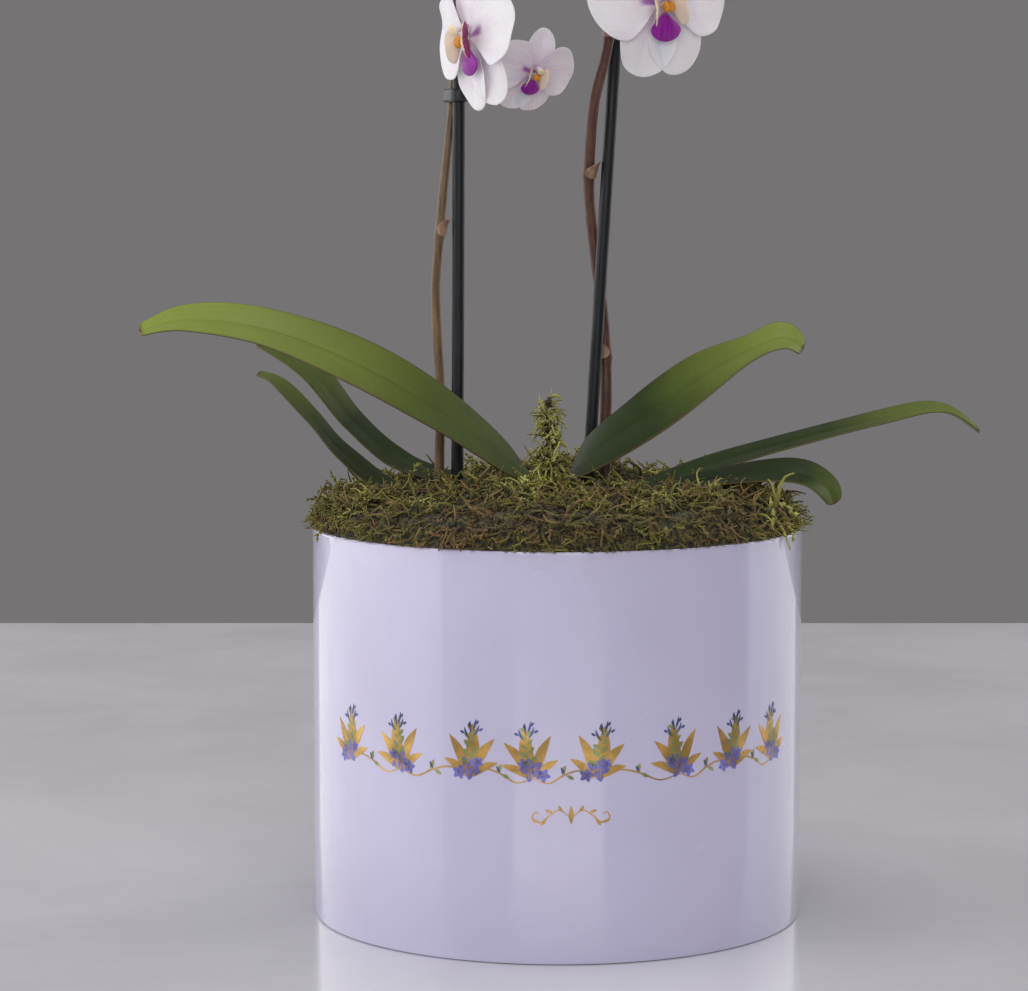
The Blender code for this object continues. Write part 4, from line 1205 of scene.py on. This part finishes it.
def build_sepals(bm, size, lilac, seed):
    add_lobe(bm, size, 90, *SEPAL, -0.0001, seed, lilac, 0.7, 0.4, 0.55)
    for number, axis in enumerate((246, 294)):
        base = -0.0001 - 0.0004 * number
        add_lobe(bm, size, axis, *LATERAL, base, seed + 2.0 + number, lilac, 0.7, 0.5, 0.5)


def build_petals(bm, size, lilac, seed):
    for number, axis in enumerate((12, 168)):
        base = 0.0014 + 0.0003 * number
        add_lobe(bm, size, axis, *PETAL, base, seed + 5.0 + number, lilac + 2.0, 0.9, 1.0, 0.34)


def build_lip(bm, size, lilac, seed):
    """A teardrop tongue, two side lobes that stand forward round the column, and a callus."""
    front = lip_front(size)

    def tongue(along, across):
        share = (along + 1) / 2
        width = 0.0070 * across * (0.22 + 0.78 * ease(0.06, 0.72, share))
        drop = 0.0018 + 0.0118 * share
        ahead = front + 0.0004 + 0.0016 * math.sin(math.pi * share) - 0.0012 * across * across
        return Vector((width, -drop, ahead)) * size, Vector((share, across, 0.0))
    thin = 0.0007 * size
    thicken(bm, add_sheet(bm, 12, 14, tongue), lambda mark: thin * (1.2 - 0.5 * abs(mark.y)))
    for hand, upper_kind, lower_kind in ((-1.0, 1.0, 1.3), (1.0, 1.3, 1.0)):
        def wing(along, across, hand=hand, upper_kind=upper_kind):
            share = (along + 1) / 2
            tall = 0.0070 * across * (0.26 + 0.74 * ease(0.08, 0.62, share))
            reach = 0.0020 + 0.0046 * share + 0.0016 * share * abs(across)
            ahead = front + 0.0008 + 0.0056 * share - 0.0008 * across * across
            point = Vector((hand * reach, 0.0002 - 0.0026 * share + tall, ahead)) * size
            return point, Vector((share, across, upper_kind))
        thicken(bm, add_sheet(bm, 10, 12, wing), lambda mark: thin,
                lambda mark, kind=lower_kind: Vector((mark.x, mark.y, kind)))
        bump = Matrix.Translation(Vector((hand * 0.0010, -0.0012, front + 0.0038)) * size)
        stretch = Matrix.Diagonal(Vector((0.0014, 0.0022, 0.0018, 1.0 / size))) * size
        add_ball(bm, bump @ stretch, Vector((0.0, 0.0, 2.0)))
    root = [Vector((0.0, -0.0004, front)), Vector((0.0, -0.0010, front + 0.0018)),
            Vector((0.0, -0.0012, front + 0.0036))]
    add_tube(bm, [point * size for point in root], 6, 10, lambda share: 0.0016 * size,
             lambda share: Vector((0.1, 0.0, 0.0)))


def build_column(bm, size, lilac, seed):
    """The column: a blunt arched peg with a rounded cap at its end."""
    front = lip_front(size)
    start = Vector((0.0, 0.0034, front))
    route = [start, start + Vector((0.0, 0.0006, 0.0020)), start + Vector((0.0, 0.0004, 0.0044)),
             start + Vector((0.0, -0.0006, 0.0066))]

    def radius_at(share):
        bulge = 0.00200 - 0.00045 * math.sin(math.pi * min(share * 1.25, 1.0))
        cap = 0.00028 * math.exp(-((share - 0.86) / 0.07) ** 2)
        return (bulge + cap) * size * math.sqrt(max(1.0 - ease(0.86, 1.02, share) * 0.93, 0.05))

    add_tube(bm, [point * size for point in route], 22, 14, radius_at,
             lambda share: Vector((share, 0.0, 0.0)))


FLOWER_PARTS = (
    ("sepals", build_sepals, "petal_white"), ("petals", build_petals, "petal_white"),
    ("lip", build_lip, "lip_magenta"), ("column", build_column, "column_white"),
)


def build_flowers():
    finishes = {"petal_white": petal_finish(), "lip_magenta": lip_finish(),
                "column_white": column_finish()}
    for side in SIDES:
        for number, flower in enumerate(FLOWERS[side], start=1):
            size, lilac = flower[6], flower[8]
            matrix = flower_matrix(flower)
            seed = number * 3.7 + (11.0 if side == "right" else 0.0)
            for part, build, slot in FLOWER_PARTS:
                bm = new_body()
                build(bm, size, lilac, seed)
                bmesh.ops.transform(bm, matrix=matrix, verts=bm.verts)
                show_piece(f"{side}_bloom_{number}_{part}", bm, finishes[slot],
                           [f"{side}_flower_{number}_{part}"], smooth=1)


def bud_place(route, share, turn):
    """The start and end of a bud's pedicel and the way it points; turn 0 is the spike's tip."""
    start = Vector(curve_at(route, share))
    along = heading_at(route, share, 0.02)
    if turn == 0:
        return start, start, along
    sideways = along.cross(Vector((0.0, 1.0, 0.0))).normalized() * turn
    facing = (along * 0.5 + sideways + Vector((0.0, -0.6, -0.2))).normalized()
    return start, start + facing * BUD_STALK, facing


def build_buds():
    """Closed buds: a plump drop with three seams that meet at its tip."""
    material = bud_finish()
    for side in SIDES:
        route = spike_route(side)
        for number, (share, turn, size) in enumerate(BUDS, start=1):
            start, end, facing = bud_place(route, share, turn)
            bm = new_body()
            verts = add_ball(bm, Matrix.Identity(4), NO_MARK, 24, 16)
            layer = place_layer(bm)
            for vert in verts:
                up = (vert.co.z + 1) / 2
                angle = math.atan2(vert.co.y, vert.co.x)
                seam = max(0.0, math.cos(3 * angle)) ** 12
                seamed = 1.0 - 0.10 * seam * math.sin(math.pi * up)
                wide = BUD_RADIUS * size * seamed * (1.08 - 0.22 * up)
                vert.co = Vector((vert.co.x * wide, vert.co.y * wide, up * BUD_LENGTH * size))
                vert[layer] = Vector((up, 0.0, seam))
            bmesh.ops.transform(bm, matrix=standing(end, facing), verts=bm.verts)
            show_piece(f"{side}_closed_bud_{number}", bm, material,
                       [f"{side}_bud_{number}"], smooth=1)


# ---- moss

class Ground:
    """Finds the moss bed's surface and the free room above it, from the frame's own nodes."""

    def __init__(self):
        self.bed = self.tree(["moss_bed"])
        self.roof = self.tree([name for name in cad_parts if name.startswith("leaf_")])

    @staticmethod
    def tree(names):
        bm = bmesh.new()
        for name in names:
            bm.from_mesh(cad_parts[name].data)
        found = BVHTree.FromBMesh(bm)
        bm.free()
        return found

    def at(self, x, y):
        """Height of the bed at a place; off the bed, the height of the pot's rim."""
        hit = self.bed.ray_cast(Vector((x, y, POT_HIGH.z + 0.1)), -UP)
        return hit[0].z if hit[0] else POT_HIGH.z

    def slope(self, x, y):
        """Height of the moss at a place, where it falls away to the pot's rim at its edge."""
        spread = math.hypot(x, y) / (sizes().pot_radius - MOSS_GAP)
        height = self.at(x * 0.985, y * 0.985)
        return height + (POT_HIGH.z + MOSS_GAP - height) * ease(0.955, 1.0, spread)

    def room(self, point):
        """Free height above a point, up to a limit."""
        hit = self.roof.ray_cast(point, UP, ROOM_ABOVE)
        return hit[3] if hit[0] else ROOM_ABOVE


def strand_mesh(seed, tone, feathered):
    """A curling strand about 1 long that starts upright at the origin, with leaves if feathered."""
    rng = random.Random(seed)
    heading = Vector((rng.uniform(-0.5, 0.5), rng.uniform(-0.5, 0.5), 1.0)).normalized()
    drift = Vector((rng.uniform(-1, 1), rng.uniform(-1, 1), rng.uniform(-0.9, 0.2)))
    point = Vector()
    route = [point.copy()]
    for _ in range(6):
        drift += Vector((rng.uniform(-0.8, 0.8), rng.uniform(-0.8, 0.8), rng.uniform(-0.5, 0.4)))
        heading = (heading + drift * 0.75).normalized()
        point = point + heading * 0.17
        route.append(point.copy())
    bm = new_body()
    rows = 7 if feathered else 11
    thick = 0.052 if feathered else 0.066
    add_tube(bm, route, rows, 3, lambda share: thick * (1.0 - 0.7 * share),
             lambda share: Vector((share, 0.0, tone)))
    if feathered:
        layer = place_layer(bm)
        for leaf in range(9):
            share = 0.18 + 0.78 * leaf / 8
            base = Vector(curve_at(route, share))
            along = heading_at(route, share, 0.05)
            turn = leaf * 2.4 + rng.uniform(-0.4, 0.4)
            side = along.orthogonal().normalized()
            side.rotate(Matrix.Rotation(turn, 3, along))
            out = (along * 0.9 + side).normalized()
            length = 0.24 * (1.0 - 0.40 * share)
            made = bmesh.ops.create_cone(
                bm, cap_ends=True, segments=3, radius1=0.055, radius2=0.0, depth=length,
                matrix=standing(base + out * length / 2, out))
            for vert in made["verts"]:
                vert[layer] = Vector((0.45 + 0.5 * share, 0.0, tone + 0.12))
    return as_mesh(f"strand_{seed}", bm)


def strand_set(seed):
    """The strands that all moss is laid from: plain and feathered shapes in each tone."""
    return [strand_mesh(seed + number * 10 + shape, tone, shape % 2 == 1)
            for number, tone in enumerate(STRAND_TONES) for shape in range(STRAND_SHAPES)]


def lay_strand(bm, mesh, foot, facing, length, spin):
    turn = Matrix.Rotation(spin, 4, "Z")
    add_copy(bm, mesh, standing(foot, facing) @ turn @ Matrix.Scale(length, 4))


def build_moss_ground(ground):
    """The matted bed under the strands, dark with painted shade in its hollows and patches."""
    radius = sizes().pot_radius
    inside = radius - sizes().pot_wall - MOSS_GAP
    reach = radius - MOSS_GAP
    rim_line = POT_HIGH.z + MOSS_GAP
    bm = new_body()

    def shape(along, across):
        x, y = across * reach, along * reach
        broad = noise.noise(Vector((x, y, 0.0)) / 0.006) * 0.0026
        rough = broad + noise.noise(Vector((y, x, 1.0)) / 0.0026) * 0.0018
        height = max(ground.slope(x, y) + rough - 0.0014, rim_line)
        # painted shade: the mat's tone follows its height, so its hollows take the dark end of the
        # moss colours
        return Vector((x, y, height)), Vector((0.5, 0.0, 0.35 + 0.2 * rough / 0.0016))

    for vert in doubled(bm, add_sheet(bm, 100, 100, shape)):
        vert.co = Vector((vert.co.x, vert.co.y, 0.0)) * (inside / radius)
        vert.co.z = MOSS_LOW
    show_piece("moss_mat", bm, moss_finish("moss_mat_finish", True), ["moss_bed"],
               sharp=180)


def build_moss_strands(ground, material):
    """Thousands of curling strands, of which some spill over the rim."""
    reach = sizes().pot_radius - MOSS_GAP
    strands = strand_set(10)
    rng = random.Random(7)
    bodies = [new_body() for _ in range(3)]
    for number in range(sizes().moss_strands):
        at_rim = number % 5 < 2
        spread = math.sqrt(rng.random()) * 0.96
        angle = rng.uniform(0, 2 * math.pi)
        out = Vector((math.cos(angle), math.sin(angle), 0.0))
        if at_rim:
            spread = 1.0 - 0.045 * rng.random()
        x, y = out.x * spread * reach, out.y * spread * reach
        foot = Vector((x, y, ground.slope(x, y) - 0.0012))
        room = ground.room(foot + UP * 0.002)
        length = rng.uniform(0.0065, 0.0125)
        turn = rng.uniform(0, 2 * math.pi)
        lying = Vector((math.cos(turn), math.sin(turn), 0.0)) * rng.uniform(0.5, 2.0)
        if at_rim:
            foot -= out * 0.0010
            lying += out * (0.05 - lying.dot(out))
            length *= 0.75
        facing = (UP * rng.uniform(0.4, 1.0) + lying).normalized()
        if room < 0.010:
            length = min(length, 0.008)
            facing = (UP * 0.25 + lying).normalized()
        if room < 0.0022:
            continue
        patch = noise.noise(Vector((x, y, 0.0)) / 0.022)
        wanted = 0.42 + 0.5 * patch + rng.uniform(-0.28, 0.28)
        tone = min(max(int(wanted * len(STRAND_TONES)), 0), len(STRAND_TONES) - 1)
        mesh = strands[tone * STRAND_SHAPES + rng.randrange(STRAND_SHAPES)]
        bm = bodies[2 if at_rim else 0 if y < 0 else 1]
        lay_strand(bm, mesh, foot, facing, length, rng.uniform(0, 6.28))
    # strands that hang below the rim are drawn up to it, so that none stands clear of the pot
    rim_line = POT_HIGH.z + 0.0004
    for vert in bodies[2].verts:
        if vert.co.z < rim_line:
            vert.co.z = rim_line - (rim_line - vert.co.z) * 0.08
    for name, bm in zip(("moss_strands_front", "moss_strands_back", "moss_strands_rim"), bodies):
        show_piece(name, bm, material, sharp=180)
    return strands


def build_moss_tufts(ground, strands, material):
    """The pointed tuft in front of the crown and the two fuller clumps at the sides."""
    radius = sizes().pot_radius
    for name, (x_share, y_share, base, height) in TUFTS.items():
        rng = random.Random(name)
        middle = Vector((x_share * radius, y_share * radius, 0.0))
        low = ground.at(middle.x, middle.y) - 0.006
        pointed = name == "moss_tuft_front"
        count = 230 if pointed else 120
        bm = new_body()
        for _ in range(count):
            share = rng.random() ** (1.25 if pointed else 1.0)
            reach = base * MM * (1.0 - share) ** (0.9 if pointed else 0.5) * math.sqrt(rng.random())
            angle = rng.uniform(0, 2 * math.pi)
            out = Vector((math.cos(angle), math.sin(angle), 0.0))
            rise = low + share * height * MM * (0.84 if pointed else 0.55)
            foot = middle + out * reach + UP * rise
            facing = (UP * (1.5 if pointed else 0.7) + out * rng.uniform(0.2, 1.3)).normalized()
            length = rng.uniform(0.008, 0.0125) * (1.0 - 0.35 * share if pointed else 0.85)
            tone = rng.randint(3 if pointed else 0, 4)
            mesh = strands[tone * STRAND_SHAPES + rng.randrange(STRAND_SHAPES)]
            lay_strand(bm, mesh, foot, facing, length, rng.uniform(0, 6.28))
        show_piece(f"{name}_strands", bm, material, [name], sharp=180)


# x and y as shares of the pot's radius, the way it points, length in mm and tone from 0 to 4
WISPS = (
    (-0.97, -0.12, (-1.0, -0.1, 0.10), 15, 1), (-0.95, -0.20, (-1.0, 0.0, 0.35), 12, 1),
    (-0.62, 0.02, (0.05, 0.0, 1.0), 22, 3), (-0.58, 0.05, (-0.25, 0.1, 1.0), 17, 2),
    (-0.16, -0.36, (-0.8, 0.0, 0.7), 18, 2), (0.06, -0.38, (1.0, 0.0, 0.45), 20, 3),
    (0.10, -0.36, (0.7, 0.1, 0.8), 15, 3), (0.86, -0.36, (0.35, -0.1, 1.0), 24, 4),
    (0.83, -0.42, (0.5, 0.0, 0.8), 19, 4), (0.88, -0.30, (0.1, -0.2, 0.9), 16, 4),
    (0.78, -0.48, (-0.3, -0.2, 0.9), 15, 4), (0.44, -0.10, (0.1, 0.0, 1.0), 15, 0),
    (0.50, -0.14, (-0.3, 0.0, 1.0), 13, 1), (-0.85, -0.40, (-0.6, -0.3, 0.8), 14, 3),
)


def build_moss_wisps(ground, strands, material):
    """Longer strands that stand out from the bed here and there."""
    radius = sizes().pot_radius
    bm = new_body()
    for number, (x, y, way, length, tone) in enumerate(WISPS):
        foot = Vector((x * radius, y * radius, 0.0))
        foot.z = ground.at(foot.x, foot.y) - 0.002
        for twin in range(3):
            lean = Vector((0.22 * (twin - 1), 0.1 * (twin - 1), 0.0))
            facing = (Vector(way) + lean).normalized()
            mesh = strands[tone * STRAND_SHAPES + (number + twin * 2) % STRAND_SHAPES]
            lay_strand(bm, mesh, foot, facing, length * MM * (1.0 - 0.2 * twin), number * 2.4)
    show_piece("moss_wisps", bm, material, sharp=180)


def build_moss():
    ground = Ground()
    material = moss_finish("moss_strand_finish", False)
    build_moss_ground(ground)
    strands = build_moss_strands(ground, material)
    build_moss_tufts(ground, strands, material)
    build_moss_wisps(ground, strands, material)
    for mesh in strands:
        bpy.data.meshes.remove(mesh)


# ---- stage: floor, light and camera

# place, target, width, height and power in watts
SOFTBOXES = {
    "window_left": ((-1.15, 0.55, 0.62), (0.0, 0.55, 0.62), 2.80, 1.30, 19.0),
    "panel_right": ((1.35, 1.15, 0.60), (0.0, 1.15, 0.60), 2.00, 1.30, 10.0),
    "overhead": ((0.25, -0.1, 1.7), (0.1, 0.0, 0.0), 1.8, 1.4, 13.0),
    "front_fill": ((0.0, -2.3, 0.9), (0.0, 0.0, 0.16), 1.8, 1.2, 19.0),
}
FLOOR_SIZE = (5.0, 4.0, 0.04)
FLOOR_BACK = 0.76
CAMERA_PLACE = (-0.0159, -1.2038, 0.2770)
CAMERA_DOWN = 5.82
CAMERA_ANGLE = 17.787


def add_softbox(name, place, target, width, height, power):
    """A soft rectangular light that isn't seen itself, but shows in a glossy glaze."""
    lamp = bpy.data.lights.new(name, "AREA")
    lamp.shape = "RECTANGLE"
    lamp.size = width
    lamp.size_y = height
    lamp.energy = power
    holder = add_to_scene(name, lamp)
    holder.location = place
    facing = Vector(target) - Vector(place)
    holder.rotation_euler = facing.to_track_quat("-Z", "Y").to_euler()
    holder.visible_camera = False


def floor_finish():
    """A pale polished top with the faintest clouding."""
    finish = Finish("pale_table", Roughness=0.16, Coat_Weight=0.3, Coat_Roughness=0.06)
    clouds = finish.noise(5.0, 5.0, 0.6, distortion=0.6)
    cloudy = finish.span(clouds, 0.3, 0.7)
    finish.drive("Base Color", finish.mix(cloudy, shade(212, 210, 216), shade(222, 220, 226)))
    finish.drive("Roughness", finish.span(clouds, 0.2, 0.8, 0.12, 0.22))
    return finish.material


def build_stage():
    """A pale floor that ends behind the pot, the softboxes, a grey surround and the camera."""
    depth, thick = FLOOR_SIZE[1:]
    bm = new_body()
    bmesh.ops.create_cube(bm, size=1.0)
    bmesh.ops.scale(bm, verts=bm.verts, vec=FLOOR_SIZE)
    bmesh.ops.translate(bm, verts=bm.verts, vec=(0.0, FLOOR_BACK - depth / 2, -thick / 2))
    bmesh.ops.bevel(bm, geom=bm.edges, offset=0.004, offset_type="OFFSET", segments=3,
                    profile=0.5, material=-1, affect="EDGES")
    mesh = as_mesh("pale_floor", bm)
    mesh.materials.append(floor_finish())
    add_to_scene("pale_floor", mesh)

    for name, settings in SOFTBOXES.items():
        add_softbox(name, *settings)

    scene = bpy.context.scene
    world = bpy.data.worlds.new("studio_grey")
    world.use_nodes = True
    backing = world.node_tree.nodes["Background"]
    backing.inputs["Color"].default_value = shade(117, 115, 116)
    backing.inputs["Strength"].default_value = 1.0
    scene.world = world
    scene.view_settings.view_transform = "Standard"

    camera = bpy.data.cameras.new("studio_camera")
    camera.sensor_fit = "HORIZONTAL"
    camera.angle = math.radians(CAMERA_ANGLE)
    camera.clip_start = 0.05
    holder = add_to_scene("studio_camera", camera)
    holder.location = CAMERA_PLACE
    holder.rotation_euler = (math.radians(90.0 - CAMERA_DOWN), 0.0, 0.0)
    scene.camera = holder


# ---- operators and panel

class ORCHID_OT_pot(bpy.types.Operator):
    """Makes the glazed pot"""
    bl_idname = "orchid.pot"
    bl_label = "Glazed pot"

    def execute(self, context):
        build_pot()
        return {"FINISHED"}


class ORCHID_OT_ornament(bpy.types.Operator):
    """Makes the band of foil sprigs and the flourish"""
    bl_idname = "orchid.ornament"
    bl_label = "Foil ornament"

    def execute(self, context):
        build_ornament()
        return {"FINISHED"}


class ORCHID_OT_inside(bpy.types.Operator):
    """Finishes the pieces that the moss hides"""
    bl_idname = "orchid.inside"
    bl_label = "Inside"

    def execute(self, context):
        finish_inside()
        return {"FINISHED"}


class ORCHID_OT_leaves(bpy.types.Operator):
    """Makes the six leaves"""
    bl_idname = "orchid.leaves"
    bl_label = "Leaves"

    def execute(self, context):
        build_leaves()
        return {"FINISHED"}


class ORCHID_OT_stakes(bpy.types.Operator):
    """Makes the two support rods"""
    bl_idname = "orchid.stakes"
    bl_label = "Stakes"

    def execute(self, context):
        build_stakes()
        return {"FINISHED"}


class ORCHID_OT_spikes(bpy.types.Operator):
    """Makes the two flower spikes with their pedicels"""
    bl_idname = "orchid.spikes"
    bl_label = "Flower spikes"

    def execute(self, context):
        build_spikes()
        return {"FINISHED"}


class ORCHID_OT_clips(bpy.types.Operator):
    """Makes the clips that hold the spikes to the rods"""
    bl_idname = "orchid.clips"
    bl_label = "Clips"

    def execute(self, context):
        build_clips()
        return {"FINISHED"}


class ORCHID_OT_flowers(bpy.types.Operator):
    """Makes every flower's sepals, petals, lip and column"""
    bl_idname = "orchid.flowers"
    bl_label = "Flowers"

    def execute(self, context):
        build_flowers()
        return {"FINISHED"}


class ORCHID_OT_buds(bpy.types.Operator):
    """Makes the closed buds"""
    bl_idname = "orchid.buds"
    bl_label = "Buds"

    def execute(self, context):
        build_buds()
        return {"FINISHED"}


class ORCHID_OT_moss(bpy.types.Operator):
    """Makes the moss bed, its strands, tufts and wisps"""
    bl_idname = "orchid.moss"
    bl_label = "Moss"

    def execute(self, context):
        build_moss()
        return {"FINISHED"}


class ORCHID_OT_stage(bpy.types.Operator):
    """Makes the floor, the lights and the camera"""
    bl_idname = "orchid.stage"
    bl_label = "Stage"

    def execute(self, context):
        build_stage()
        return {"FINISHED"}


STEPS = (
    ORCHID_OT_pot, ORCHID_OT_ornament, ORCHID_OT_inside, ORCHID_OT_leaves, ORCHID_OT_stakes,
    ORCHID_OT_spikes, ORCHID_OT_clips, ORCHID_OT_flowers, ORCHID_OT_buds, ORCHID_OT_moss,
    ORCHID_OT_stage,
)


class ORCHID_PT_panel(bpy.types.Panel):
    """Lists the orchid's steps and settings."""
    bl_label = "Potted moth orchid"
    bl_idname = "ORCHID_PT_panel"
    bl_space_type = "VIEW_3D"
    bl_region_type = "UI"
    bl_category = "Orchid"

    def draw(self, context):
        for step in STEPS:
            self.layout.operator(step.bl_idname)
        for group in (context.scene.orchid_sizes, context.scene.orchid_colours):
            box = self.layout.box()
            for name in group.__annotations__:
                box.prop(group, name)


CLASSES = (OrchidSizes, OrchidColours, *STEPS, ORCHID_PT_panel)


def register():
    for item in CLASSES:
        bpy.utils.register_class(item)
    bpy.types.Scene.orchid_sizes = bpy.props.PointerProperty(type=OrchidSizes)
    bpy.types.Scene.orchid_colours = bpy.props.PointerProperty(type=OrchidColours)


def unregister():
    del bpy.types.Scene.orchid_colours
    del bpy.types.Scene.orchid_sizes
    for item in reversed(CLASSES):
        bpy.utils.unregister_class(item)


def main():
    register()
    bpy.ops.orchid.pot()
    bpy.ops.orchid.ornament()
    bpy.ops.orchid.inside()
    bpy.ops.orchid.leaves()
    bpy.ops.orchid.stakes()
    bpy.ops.orchid.spikes()
    bpy.ops.orchid.clips()
    bpy.ops.orchid.flowers()
    bpy.ops.orchid.buds()
    bpy.ops.orchid.moss()
    bpy.ops.orchid.stage()


if __name__ == "__main__":
    main()
